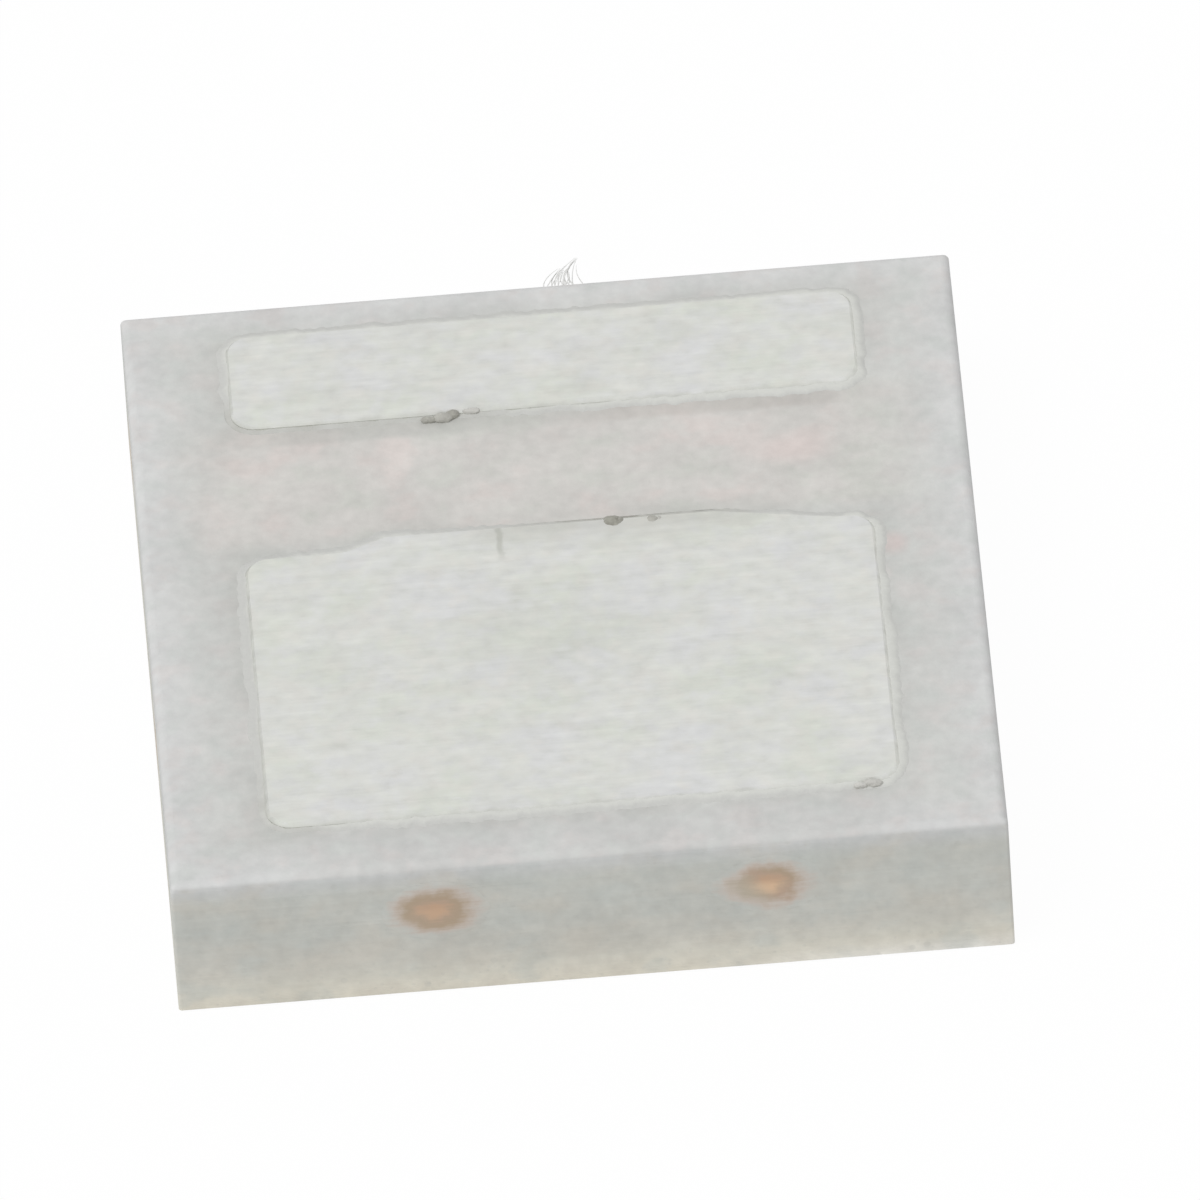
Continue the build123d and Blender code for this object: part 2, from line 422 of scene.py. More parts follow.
class Growth(Graph):
    """A Geometry Nodes tree that works in millimetres, with named sizes, and its baked piece."""

    def __init__(self, name: str, piece: Any, *sizes: str) -> None:
        """Open the tree's inputs.

        Args:
            name: Name of the tree.
            piece: The piece that is grown, with a seed for what is random in it.
            *sizes: Names of its fields that become inputs, beside the seed.
        """
        super().__init__(bpy.data.node_groups.new(name, "GeometryNodeTree"))
        sockets = self.tree.interface
        for way in ("OUTPUT", "INPUT"):
            sockets.new_socket("Geometry", in_out=way, socket_type="NodeSocketGeometry")
        made = sockets.new_socket("seed", in_out="INPUT", socket_type="NodeSocketInt")
        self.values = {made.identifier: piece.seed}
        for size in sizes:
            made = sockets.new_socket(size, in_out="INPUT", socket_type="NodeSocketFloat")
            self.values[made.identifier] = getattr(piece, size)
        self.entry = self.tree.nodes.new("NodeGroupInput")
        self.start, self.seed = self.input("Geometry"), self.input("seed")
        self.place = self.node("GeometryNodeInputPosition")

    def input(self, name: str) -> Term:
        """A named input of the tree."""
        return Term(self, self.entry.outputs[name])

    def own_place(self) -> Term:
        """The points' places, shifted by the seed so that each tree has its own noise."""
        return self.vector("ADD", self.place, self.join(self.seed * 1.0, 0.0, 0.0))

    def mark(self, name: str, kind: str = "FLOAT") -> Term:
        """A value that the geometry holds at each of its points."""
        return self.node("GeometryNodeInputNamedAttribute", {"Name": name}, data_type=kind)

    def store(self, geometry: Term, name: str, value: Term, kind: str = "FLOAT") -> Term:
        """Geometry with a value kept at each of its points."""
        inputs = {"Geometry": geometry, "Name": name, "Value": value}
        return self.node("GeometryNodeStoreNamedAttribute", inputs, data_type=kind, domain="POINT")

    def moved(self, geometry: Term, key: str, place: Term) -> Term:
        """Geometry with its points moved by an Offset or to a Position."""
        return self.node("GeometryNodeSetPosition", {"Geometry": geometry, key: place})

    def random(self, low: float, high: float, step: int) -> Term:
        """A random number for each point, from the tree's seed and a step of its own."""
        inputs = {2: low, 3: high, "Seed": self.seed + step}
        return self.node("FunctionNodeRandomValue", inputs, 1, data_type="FLOAT")

    def turn(self, x: Value, y: Value, z: Value) -> Term:
        """A rotation from its three angles."""
        return self.node("FunctionNodeEulerToRotation", {0: self.join(x, y, z)})

    def divided(self, line: Term, mode: str, key: str, value: Value) -> Term:
        """A curve divided evenly, by its Count or by the Length of a step."""
        return self.node("GeometryNodeResampleCurve", {"Curve": line, key: value}, mode=mode)

    def tube(self, line: Term, sides: int, radius: Term, **inputs: Value) -> Term:
        """A round closed tube along a curve.

        Args:
            line: The curve.
            sides: Number of flat sides that make it round.
            radius: Its radius.
            **inputs: Further inputs, as a Scale along its length.

        Returns:
            The tube.
        """
        profile = {"Resolution": sides, "Radius": radius}
        ring = self.node("GeometryNodeCurvePrimitiveCircle", profile, mode="RADIUS")
        inputs |= {"Curve": line, "Profile Curve": ring, "Fill Caps": True}
        return self.node("GeometryNodeCurveToMesh", inputs)

    def copies(self, points: Term, piece: Term, **inputs: Value) -> Term:
        """Real copies of a piece at some points, which may get a Selection, Rotation or Scale."""
        inputs |= {"Points": points, "Instance": piece}
        placed = self.node("GeometryNodeInstanceOnPoints", inputs)
        return self.node("GeometryNodeRealizeInstances", {"Geometry": placed})

    def bake(self, name: str, geometry: Term, material: Material, carrier: Mesh) -> Object:
        """End the tree, run it on a carrier and keep the result as a plain mesh.

        Args:
            name: Name of the piece.
            geometry: What the tree has made, in millimetres.
            material: Finish of all its faces.
            carrier: Points and edges that the tree starts from.

        Returns:
            The piece, in metres, at the origin and without a modifier.
        """
        smooth = self.node("GeometryNodeSetShadeSmooth", {"Geometry": geometry})
        metres = {"Geometry": smooth, "Scale": (MM, MM, MM)}
        scaled = self.node("GeometryNodeTransform", metres)
        real = self.node("GeometryNodeRealizeInstances", {"Geometry": scaled})
        dressed = self.node("GeometryNodeSetMaterial", {"Geometry": real, "Material": material})
        self.end("NodeGroupOutput", "Geometry", dressed)
        holder = add_object(f"{name}.carrier", carrier)
        modifier = holder.modifiers.new(self.tree.name, "NODES")
        modifier.node_group = self.tree
        for identifier, value in self.values.items():
            modifier[identifier] = value
        graph = bpy.context.evaluated_depsgraph_get()
        mesh = bpy.data.meshes.new_from_object(holder.evaluated_get(graph), depsgraph=graph)
        holder.modifiers.remove(modifier)
        bpy.data.objects.remove(holder)
        mesh.name = name
        return add_object(name, mesh)


def add_object(name: str, data: bpy.types.ID) -> Object:
    """Put a new object into the scene, at the origin."""
    made = bpy.data.objects.new(name, data)
    bpy.context.scene.collection.objects.link(made)
    return made


def carrier_mesh(
    points: Sequence[Point],
    rows: Sequence[Any] = (),
    marks: Sequence[str] = (),
    edges: Sequence[tuple[int, int]] = (),
) -> Mesh:
    """Make the bare points that a tree starts from.

    Args:
        points: Places in millimetres.
        rows: What the points stand for, in their order.
        marks: Fields of the rows that are kept at the points.
        edges: Pairs of points that an edge joins.

    Returns:
        A mesh without faces.
    """
    mesh = bpy.data.meshes.new("carrier")
    mesh.from_pydata(points, edges, [])
    for name in marks:
        values = [getattr(row, name) for row in rows]
        mesh.attributes.new(name, "FLOAT", "POINT").data.foreach_set("value", values)
    return mesh


def side_points(frame: Frame, node: str, axis: int, high: bool) -> list[Vector]:
    """Find the points of a CAD node that lie on one side of its box.

    Args:
        frame: The loaded frame.
        node: Name of the node.
        axis: 0, 1 or 2 for X, Y or Z.
        high: Whether it is the side of larger values.

    Returns:
        Points in millimetres.
    """
    tolerance = 0.0002
    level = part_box(node)[1 if high else 0][axis] / MM
    points = [vertex.co / MM for vertex in frame["nodes"][node].data.vertices]
    return [point for point in points if abs(point[axis] - level) < tolerance]


def middle(points: Sequence[Vector]) -> Vector:
    """Middle of the box round some points."""
    columns = list(zip(*points))
    return Vector((min(column) + max(column)) / 2 for column in columns)


@dataclass(frozen=True)
class MouldingFinish:
    """Filled white epoxy: fine matte grain on the moulded face, saw lines on the sawn walls,
    painted shade beside the pads and painted bounce light along the walls' foot.
    """

    pad_half_width: float = 1.135
    wide_pad: Span = (-1.25, 0.22)
    narrow_pad: Span = (0.84, 1.325)
    left_shoulder: Span = (-0.76, -0.62)
    left_drop: float = 0.065
    right_shoulder: Span = (0.56, 1.0)
    right_drop: float = 0.08

    face: Colour = tone(206.5, 207, 204)
    face_edge: Span = (0.59, 0.608)
    face_patches: Patches = Patches(tone(213, 207.5, 205), tone(203, 207, 203.5), 0.09, 0.45, 21.0)
    border: Colour = tone(213, 213.5, 213)
    border_edge: Span = (1.25, 1.54)
    # Painted shade: a darker strip on the face between the wide pad's near edge and the near wall.
    near_strip_shade: Colour = tone(204.5, 204.5, 202.5)
    near_strip_shade_edge: Span = (-1.36, -1.2)
    near_strip_shade_ends: Span = (0.9, 1.25)

    gap: Colour = tone(210, 207.5, 203.5)
    gap_band: Point = (0.27, 0.8, 0.10)
    gap_ends: Span = (1.1, 1.42)
    gap_patches: Patches = Patches(tone(217.5, 207.5, 203.5), tone(203.5, 206, 199), 0.15, 0.6, 3.1)
    blush: Colour = tone(219.5, 209.5, 205.5)
    blush_spot: Spot = Spot((0.86, 0.53, 0.62), (0.22, 0.12, 0.3), 0.9)
    reddish: Colour = tone(212, 197, 194)
    reddish_spot: Spot = Spot((1.19, -0.01, 0.62), (0.085, 0.085, 0.3), 0.8)
    reddish_share: float = 0.75

    # Painted shade: a grey band on the face beside the pads' edges, in clouds, weaker towards the
    # far and right walls.
    pad_shade_tone: Colour = tone(189, 189.5, 185)
    pad_shade_reach: Span = (-0.01, 0.14)
    pad_shade_share: float = 0.70
    pad_shade_clouds: Grain = Grain(0.40, 0.6, 3, 17.3)
    pad_shade_clouds_edge: Span = (0.36, 0.62)
    pad_shade_fade_far: Span = (1.30, 1.34)
    pad_shade_fade_far_share: float = 0.45
    pad_shade_fade_right: Span = (1.10, 1.15)
    pad_shade_fade_right_share: float = 0.35
    # Painted shade below the narrow pad's near edge: a pinkish stain tone on its right part, the
    # grey of the painted shade beside the pads on its left.
    shade_and_stain: Colour = tone(196, 190, 185)
    shade_and_stain_share: float = 0.55
    shade_and_stain_band: Point = (0.765, 0.82, 0.035)
    shade_and_stain_right: Point = (0.25, 0.95, 0.2)
    shade_and_stain_left: Point = (-0.95, -0.35, 0.2)

    wall: Colour = tone(195, 196, 190)
    wall_top: Colour = tone(201, 202, 201)
    wall_top_edge: Span = (0.50, 0.60)
    wall_low: Colour = tone(202, 197, 187)
    wall_low_band: Point = (0.17, 0.25, 0.07)
    wall_low_share: float = 0.3
    # Painted bounce light: the wall's foot is painted lighter where the floor would light it, warm
    # where the phosphor shows through the thin moulding, palest towards the right.
    lit_warm_rim: Colour = tone(220, 215, 201)
    lit_warm_rim_edge: Span = (-0.03, 0.26)
    lit_pale_rim: Colour = tone(235, 233, 226)
    lit_pale_rim_edge: Span = (0.0, 0.10)
    lit_pale_rim_side: Span = (0.2, 1.3)
    wall_patches: Patches = Patches(tone(203, 197, 186), tone(187, 193, 190), 0.14, 0.34, 13.7)
    filler: Colour = tone(184, 184, 178)
    coarse_filler: Speckles = Speckles(0.060, 0.26, 0.30, 0.22, 5.0)
    fine_filler: Speckles = Speckles(0.027, 0.32, 0.30, 0.18, 2.2)

    broad_mottle: Grain = Grain(0.24, 0.23, 2, 1.7)
    mild_mottle: Grain = Grain(0.10, 0.11, 2, 5.9)
    fine_mottle: Grain = Grain(0.045, 0.22, 3, 8.2)
    fine_saw_lines: Grain = Grain(0.011, seed=2.3, stretch=(70, 70, 1))
    coarse_saw_lines: Grain = Grain(0.05, seed=6.6, stretch=(24, 24, 1))
    saw_tints: Span = (0.05, 0.045)
    saw_depths: Span = (0.0011, 0.0030)
    saw_roughness: float = 0.2
    fine_relief: Grain = Grain(0.013, 0.0011, 2, 4.0)
    broad_relief: Grain = Grain(0.07, 0.0022, 1, 9.0)
    wall_relief_share: float = 0.25
    wall_roughness: float = 0.68
    face_smoother: float = 0.06
    specular: float = 0.35

    def from_pads(self, surface: Surface) -> Term:
        """Distance outwards from the nearer pad's outline.

        Args:
            surface: The material under construction.

        Returns:
            The distance in millimetres, negative on a pad.
        """
        x, y = surface.x, surface.y
        aside = x.size() - self.pad_half_width
        near, far = self.wide_pad
        left_step = x.fall(*self.left_shoulder) * self.left_drop
        shoulder = far - left_step - x.rise(*self.right_shoulder) * self.right_drop
        wide = aside.at_least(y - shoulder).at_least(near - y)
        near, far = self.narrow_pad
        return wide.at_most(aside.at_least((y - (near + far) / 2).size() - (far - near) / 2))

    def face_colour(self, surface: Surface) -> Term:
        """Colour of the moulded pad face, with painted shade beside the pads' edges.

        Args:
            surface: The material under construction.

        Returns:
            The base colour.
        """
        x, y, mix = surface.x, surface.y, surface.mix
        shade = mix(self.face, self.border, surface.outward().rise(*self.border_edge))
        # Painted shade in the strip below the wide pad.
        near = y.fall(*self.near_strip_shade_edge) * x.size().fall(*self.near_strip_shade_ends)
        shade = mix(shade, self.near_strip_shade, near)
        shade = surface.patched(shade, self.face_patches)
        gap = surface.patched(self.gap, self.gap_patches)
        gap = mix(gap, self.blush, surface.spot(self.blush_spot))
        shade = mix(shade, gap, y.band(*self.gap_band) * x.size().fall(*self.gap_ends))
        # Painted shade and stain in a band below the narrow pad's near edge.
        for colour, along in ((self.shade_and_stain, self.shade_and_stain_right), (self.pad_shade_tone, self.shade_and_stain_left)):
            share = y.band(*self.shade_and_stain_band) * x.band(*along) * self.shade_and_stain_share
            shade = mix(shade, colour, share)
        reddish = surface.spot(self.reddish_spot) * self.reddish_share
        shade = mix(shade, self.reddish, reddish)
        # Painted shade beside the pads: grey by distance from their outlines, in clouds, lifted
        # towards the far and right walls.
        strength = self.pad_shade_clouds.strength
        uneven = surface.noise(self.pad_shade_clouds).rise(*self.pad_shade_clouds_edge) * strength
        pad_shade_fade_far = y.rise(*self.pad_shade_fade_far) * self.pad_shade_fade_far_share
        unmarked = pad_shade_fade_far.at_least(x.rise(*self.pad_shade_fade_right) * self.pad_shade_fade_right_share)
        pad_shade = self.from_pads(surface).fall(*self.pad_shade_reach) * (uneven + (1 - strength))
        return mix(shade, self.pad_shade_tone, pad_shade * (1 - unmarked) * self.pad_shade_share)

    def wall_colour(self, surface: Surface) -> Term:
        """Colour of the sawn walls, paler at the rim that lies on the floor, where bounce light
        from the floor is painted in.

        Args:
            surface: The material under construction.

        Returns:
            The base colour.
        """
        x, z, mix = surface.x, surface.z, surface.mix
        # Painted bounce light from the floor along the wall's foot, palest towards the right.
        pale = x.rise(*self.lit_pale_rim_side) * z.fall(*self.lit_pale_rim_edge)
        rim = mix(self.lit_warm_rim, self.lit_pale_rim, pale)
        wall = mix(rim, self.wall, z.rise(*self.lit_warm_rim_edge))
        wall = mix(wall, self.wall_low, z.band(*self.wall_low_band) * self.wall_low_share)
        wall = mix(wall, self.wall_top, z.rise(*self.wall_top_edge))
        wall = surface.patched(wall, self.wall_patches)
        filler = surface.speckled(self.coarse_filler, self.fine_filler).at_most(1.0)
        return mix(wall, self.filler, filler)

    def saw_lines(self, surface: Surface) -> tuple[Term, Term]:
        """Fine and coarse lines that the saw left along the walls."""
        return surface.layers(self.fine_saw_lines), surface.layers(self.coarse_saw_lines)

    def mottle(self, surface: Surface) -> Term:
        """Factor by which the moulding is lighter or darker from place to place."""
        return 1 + surface.layers(self.broad_mottle, self.mild_mottle, self.fine_mottle)

    def sawn_colour(self, surface: Surface) -> Term:
        """Colour of a sawn wall with its mottle and saw lines."""
        factor = self.mottle(surface) + weigh(self.saw_lines(surface), self.saw_tints)
        return surface.dim(self.wall_colour(surface), factor)

    def material(self) -> Material:
        """Build the material.

        Returns:
            The finished material.
        """
        surface = Surface("white_moulding")
        face = surface.z.rise(*self.face_edge)
        top = surface.dim(self.face_colour(surface), self.mottle(surface))
        colour = surface.mix(self.sawn_colour(surface), top, face)
        relief = surface.layers(self.fine_relief, self.broad_relief, about=0.0)
        relief = relief * (face * (1 - self.wall_relief_share) + self.wall_relief_share)
        lines = self.saw_lines(surface)
        height = relief + (1 - face) * weigh(lines, self.saw_depths)
        roughness = self.wall_roughness + lines[0] * self.saw_roughness - face * self.face_smoother
        return surface.close(colour, roughness, height=height, Specular_IOR_Level=self.specular)


@dataclass(frozen=True)
class PlatingFinish:
    """Matte silver over copper: rolled along X, with dull blotches, painted shade on its bevelled
    edge, and bare where it was sawn.
    """

    face_z: float = 0.64
    edge_break: float = 0.012
    edge_waver: float = 0.02
    # Painted shade: the pad's bevelled edge is painted darker than its face.
    edge: Colour = tone(206, 207, 201)
    edge_shade_share: float = 0.8
    silver: Colour = tone(217, 218, 213.5)
    green_patches: Patches = Patches(tone(213, 216.5, 207), tone(216, 216.5, 218), 0.19, 0.6, 11.3)
    tan_patches: Patches = Patches(tone(219, 216.5, 210.5), tone(216, 216.5, 218), 0.06, 0.35, 31.0)
    dull: Colour = tone(207.5, 209.5, 203)
    dull_spot: Spot = Spot((-0.05, -0.36, 0.64), (0.62, 0.42, 0.3), 0.8)
    dull_spot_share: float = 0.7
    dull_clouds: Grain = Grain(0.20, 0.5, 4, 3.8, (1.8, 1, 1))
    dull_clouds_edge: Span = (0.5, 0.72)
    worn: Colour = tone(197, 197, 191)
    worn_along: Point = (-0.22, 0.62, 0.22)
    worn_across: Point = (0.21, 0.25, 0.16)
    worn_share: float = 0.55
    copper: Colour = tone(171, 156, 138)
    sawn_edge: Span = (1.494, 1.498)

    scratch: Colour = tone(180, 181, 173)
    scratch_top: Span = (-0.218, 0.215)
    scratch_foot: Span = (-0.206, 0.010)
    scratch_half_width: float = 0.020
    scratch_band: Point = (0.05, 0.5, 0.45)
    scratch_wave: Grain = Grain(0.07, 0.035, seed=6.1)
    scratch_share: float = 0.6
    scratch_depth: float = 0.0012

    long_lines: Grain = Grain(0.010, seed=1.2, stretch=(110, 1, 1))
    short_lines: Grain = Grain(0.022, 1.0, 3, 7.4, (7, 1, 1))
    fine_clouds: Grain = Grain(0.045, 1.0, 4, 5.5, (1.3, 1, 1))
    mild_clouds: Grain = Grain(0.10, 1.0, 3, 15.5, (1.4, 1, 1))
    tints: tuple[float, ...] = (0.07, 0.12, 0.24, 0.12)
    depths: tuple[float, ...] = (0.0009, 0.0014, 0.0010)
    rougher: tuple[float, ...] = (0.12, 0.0, 0.2)
    roughness: float = 0.46
    metallic: float = 0.95
    dull_metal_loss: float = 0.25
    sawn_metal_loss: float = 0.45

    def scratch_mask(self, surface: Surface) -> Term:
        """Mask of one short scratch that runs down from the pad's edge and fades out.

        Args:
            surface: The material under construction.

        Returns:
            1 in the scratch's middle and 0 beside it.
        """
        (top_x, top_y), (foot_x, foot_y) = self.scratch_top, self.scratch_foot
        along = (surface.y - top_y) / (foot_y - top_y)
        wave = surface.layers(self.scratch_wave)
        aside = (surface.x - top_x - along * (foot_x - top_x) + wave).size()
        half = self.scratch_half_width
        return aside.fall(0.2 * half, half) * along.band(*self.scratch_band)

    def material(self) -> Material:
        """Build the material.

        Returns:
            The finished material.
        """
        surface = Surface("plated_copper")
        mix = surface.mix
        grains = (self.long_lines, self.short_lines, self.fine_clouds, self.mild_clouds)
        lines = [surface.layers(grain) for grain in grains]
        clouds = surface.noise(self.dull_clouds).rise(*self.dull_clouds_edge)
        dull = surface.spot(self.dull_spot)
        dulled = clouds * self.dull_clouds.strength + dull * self.dull_spot_share
        colour = mix(self.silver, self.dull, dulled.at_most(1.0))
        colour = surface.patched(colour, self.green_patches)
        colour = surface.patched(colour, self.tan_patches)
        worn = surface.y.band(*self.worn_across) * surface.x.band(*self.worn_along)
        colour = mix(colour, self.worn, worn * self.worn_share)
        nick = self.scratch_mask(surface)
        colour = mix(colour, self.scratch, nick * self.scratch_share)
        # Painted shade down the bevelled edge, below the pad's face.
        level = surface.z + lines[2] * self.edge_waver
        edge_shade = level.fall(self.face_z - self.edge_break, self.face_z - 0.0005)
        colour = mix(colour, self.edge, edge_shade * self.edge_shade_share)
        colour = surface.dim(colour, 1 + weigh(lines, self.tints))
        sawn = surface.outward().rise(*self.sawn_edge)
        colour = mix(colour, self.copper, sawn)
        height = weigh(lines, self.depths) - nick * self.scratch_depth
        roughness = self.roughness + weigh(lines, self.rougher)
        metallic = self.metallic - dull * self.dull_metal_loss - sawn * self.sawn_metal_loss
        return surface.close(colour, roughness, metallic, height=height)


@dataclass(frozen=True)
class PhosphorFinish:
    """Clear silicone full of yellow phosphor grains."""

    body: Colour = tone(238, 206, 74)
    deep: Colour = tone(224, 180, 52)
    clouds: Grain = Grain(0.22, detail=3)
    clouds_edge: Span = (0.4, 0.65)
    grain: Colour = tone(247, 228, 120)
    grains: Speckles = Speckles(0.016, 0.45, 0.6, 1.0)
    grain_share: float = 0.7
    grain_height: float = 0.0012
    waves: Grain = Grain(0.09, 0.004)
    roughness: float = 0.32
    rougher: float = 0.12
    coat: float = 0.3

    def material(self) -> Material:
        """Build the material.

        Returns:
            The finished material.
        """
        surface = Surface("phosphor_silicone")
        clouds, grains = surface.noise(self.clouds), surface.speckled(self.grains)
        colour = surface.mix(self.body, self.deep, clouds.rise(*self.clouds_edge))
        colour = surface.mix(colour, self.grain, grains * self.grain_share)
        height = grains * self.grain_height + surface.layers(self.waves, about=0.0)
        roughness = self.roughness + clouds * self.rougher
        return surface.close(colour, roughness, height=height, Coat_Weight=self.coat)


@dataclass(frozen=True)
class ChipFinish:
    """Sapphire chip: pale blue mesa with gold finger electrodes on the side that faces down."""

    sapphire: Colour = tone(176, 196, 214)
    mesa: Colour = tone(150, 178, 206)
    clouds: Grain = Grain(0.12)
    clouds_edge: Span = (0.35, 0.65)
    electrode: Colour = tone(226, 188, 104)
    finger_pitch: float = 0.20
    finger_width: float = 0.012
    finger_height: float = 0.001
    finger_metal: float = 0.9
    roughness: float = 0.16
    rougher: float = 0.12

    def material(self) -> Material:
        """Build the material.

        Returns:
            The finished material.
        """
        surface = Surface("chip")
        clouds = surface.noise(self.clouds)
        wrapped = surface.maths("PINGPONG", surface.x, self.finger_pitch / 2)
        finger = wrapped.fall(self.finger_width / 2, self.finger_width)
        colour = surface.mix(self.sapphire, self.mesa, clouds.rise(*self.clouds_edge))
        colour = surface.mix(colour, self.electrode, finger)
        roughness, metallic = self.roughness + clouds * self.rougher, finger * self.finger_metal
        return surface.close(colour, roughness, metallic, height=finger * self.finger_height)


@dataclass(frozen=True)
class GrainyFinish:
    """A finish with soft clouds and small grains, for glue, silicon, residue and lint.

    Where it has a pale tone, the piece's own mark says how much of it shows.
    """

    name: str
    light: Colour
    dark: Colour
    cloud_size: float
    grain_size: float
    roughness: float
    metallic: float = 0.0
    relief: float = 0.001
    pale: Optional[Colour] = None
    clouds_edge: Span = (0.35, 0.65)
    grain_tint: float = 0.3
    rougher: float = 0.3

    def material(self) -> Material:
        """Build the material.

        Returns:
            The finished material.
        """
        surface = Surface(self.name)
        clouds = surface.noise(Grain(self.cloud_size, detail=3, seed=2.0))
        grain = surface.noise(Grain(self.grain_size, seed=6.0))
        colour = surface.mix(self.light, self.dark, clouds.rise(*self.clouds_edge))
        if self.pale:
            colour = surface.mix(colour, self.pale, surface.attribute("pale"))
        colour = surface.dim(colour, 1 + (grain - 0.5) * self.grain_tint)
        roughness = self.roughness + (grain - 0.5) * self.rougher
        return surface.close(colour, roughness, self.metallic, height=grain * self.relief)


@dataclass(frozen=True)
class SmearFinish:
    """Copper dragged over the moulding by the saw: bright in the middle, brown at its edge.

    Its spans are shares of a smear's half size, counted from its middle.
    """

    wall: MouldingFinish = MouldingFinish()
    core: Colour = tone(191, 161.5, 137)
    core_edge: Span = (0.06, 0.42)
    bright: Colour = tone(212, 183, 154)
    bright_edge: Span = (-0.1, 0.2)
    ring: Colour = tone(181, 160, 142)
    olive: Colour = tone(174, 157, 136)
    oxide: Grain = Grain(0.035, 0.5, 3, 3.3)
    oxide_edge: Span = (0.42, 0.60)
    heavy_side: Span = (0.1, 0.6)
    heavy_edge: Span = (0.20, 0.42)
    faded: Colour = tone(183, 175, 159)
    faded_side: Span = (0.0, 0.6)
    side_share: float = 0.8
    pink: Colour = tone(198, 188, 179)
    pink_edge: Span = (0.40, 0.76)
    wall_edge: Span = (0.62, 0.88)
    uneven: Grain = Grain(0.06, 0.45, 3, 9.0)
    lines: Grain = Grain(0.010, seed=3.0, stretch=(14, 14, 1))
    line_waver: float = 0.2
    line_tint: float = 0.12
    line_depth: float = 0.0012
    line_roughness: float = 0.3
    tail_shift: float = 0.06
    tail_widening: float = 0.06
    round_growth: float = 0.045
    bow: float = 0.9
    tail_bow: float = 0.3
    round_heaviness: float = 0.8
    faded_slant: float = 0.5
    roughness: float = 0.45
    metallic: float = 0.9

    def material(self) -> Material:
        """Build the material.

        Returns:
            The finished material.
        """
        surface = Surface("smeared_copper")
        mix = surface.mix
        tail = surface.attribute("tail").size()
        round_share = 1 - tail
        across, _, upward = surface.split(surface.attribute("local", "Vector"))
        away = surface.length(surface.join(across + tail * self.tail_shift, 0.0, upward))
        lines = surface.layers(self.lines)
        uneven = lines * self.line_waver + surface.layers(self.uneven)
        ragged = away + uneven - round_share * self.round_growth
        oxide = surface.noise(self.oxide).rise(*self.oxide_edge) * self.oxide.strength
        core = mix(self.core, self.bright, tail * upward.fall(*self.bright_edge))
        bow = self.bow - tail * (self.bow - self.tail_bow)
        flat = ragged + upward * upward * bow - tail * self.tail_widening
        colour = mix(core, mix(self.ring, self.olive, oxide), flat.rise(*self.core_edge))
        side = (across + upward) * tail + round_share * self.round_heaviness
        heavy = side.rise(*self.heavy_side) * ragged.rise(*self.heavy_edge) * self.side_share
        colour = mix(colour, self.olive, heavy)
        side = tail * (across * -1.0 - upward * self.faded_slant)
        faded = side.rise(*self.faded_side) * self.side_share
        colour = mix(colour, self.faded, faded)
        pink = ragged.rise(*self.pink_edge)
        colour = surface.dim(mix(colour, self.pink, pink), 1 + lines * self.line_tint)
        # The smear's edge takes the sawn wall's colour, its painted bounce light near the rim
        # included.
        colour = mix(colour, self.wall.sawn_colour(surface), ragged.rise(*self.wall_edge))
        metallic = self.metallic * (1 - pink.at_least(faded))
        roughness, height = self.roughness + lines * self.line_roughness, lines * self.line_depth
        specular = self.wall.specular
        return surface.close(colour, roughness, metallic, height, Specular_IOR_Level=specular)


@dataclass(frozen=True)
class WireFinish:
    """Drawn gold wire with faint lines."""

    gold: Colour = tone(242, 198, 104)
    shade: Colour = tone(214, 160, 72)
    clouds: Grain = Grain(0.02, detail=3)
    clouds_edge: Span = (0.35, 0.7)
    roughness: float = 0.18
    rougher: float = 0.2
    relief: float = 0.0006

    def material(self) -> Material:
        """Build the material.

        Returns:
            The finished material.
        """
        surface = Surface("gold_wire")
        clouds = surface.noise(self.clouds)
        colour = surface.mix(self.gold, self.shade, clouds.rise(*self.clouds_edge))
        roughness, height = self.roughness + clouds * self.rougher, clouds * self.relief
        return surface.close(colour, roughness, metallic=1.0, height=height)


@dataclass(frozen=True)
class FlashFinish:
    """Thin moulding flash: silvery by the pad and painted lighter on the pads' right sides, grey
    with painted shade and stain where the groove is open.
    """

    # The flash's plain tone, set darker than the moulded face to carry on the painted shade beside
    # the pads.
    unmarked: Colour = tone(200.5, 201, 197.5)
    # Silvered tone by the pad, also painted light: it is laid on more along the pads' right sides,
    # which face away from the lamp.
    silvered_and_lit: Colour = tone(213, 214, 209)
    silvered_and_lit_edge: Span = (-0.35, 0.35)
    # Painted shade and stain: the open groove's darkness is laid into the flash's colour.
    shaded_and_stained: Colour = tone(172, 171, 162)
    shade_and_stain_edge: Span = (0.10, 0.80)
    shade_and_stain_share: float = 0.9
    clouds: Grain = Grain(0.11, 1.0, 3, 4.4)
    silvered_and_lit_waver: float = 0.4
    shade_and_stain_waver: float = 0.6
    fine: Grain = Grain(0.012, seed=1.0)
    fine_tint: float = 0.10
    roughness: float = 0.6
    rougher: float = 0.2
    relief: float = 0.0012

    def material(self) -> Material:
        """Build the material.

        Returns:
            The finished material.
        """
        surface = Surface("moulding_flash")
        clouds, fine = surface.layers(self.clouds), surface.layers(self.fine)
        # Silvered, and painted lighter on the pads' right sides where the lip is larger.
        outer = surface.attribute("across") - surface.attribute("lip")
        outer = (outer + clouds * self.silvered_and_lit_waver).rise(*self.silvered_and_lit_edge)
        colour = surface.mix(self.silvered_and_lit, self.unmarked, outer)
        # Painted shade and stain where the groove is open.
        shade_and_stain = (surface.attribute("open") + clouds * self.shade_and_stain_waver).rise(*self.shade_and_stain_edge)
        colour = surface.mix(colour, self.shaded_and_stained, shade_and_stain * self.shade_and_stain_share)
        colour = surface.dim(colour, 1 + fine * self.fine_tint)
        roughness, height = self.roughness + fine * self.rougher, fine * self.relief
        return surface.close(colour, roughness, height=height)


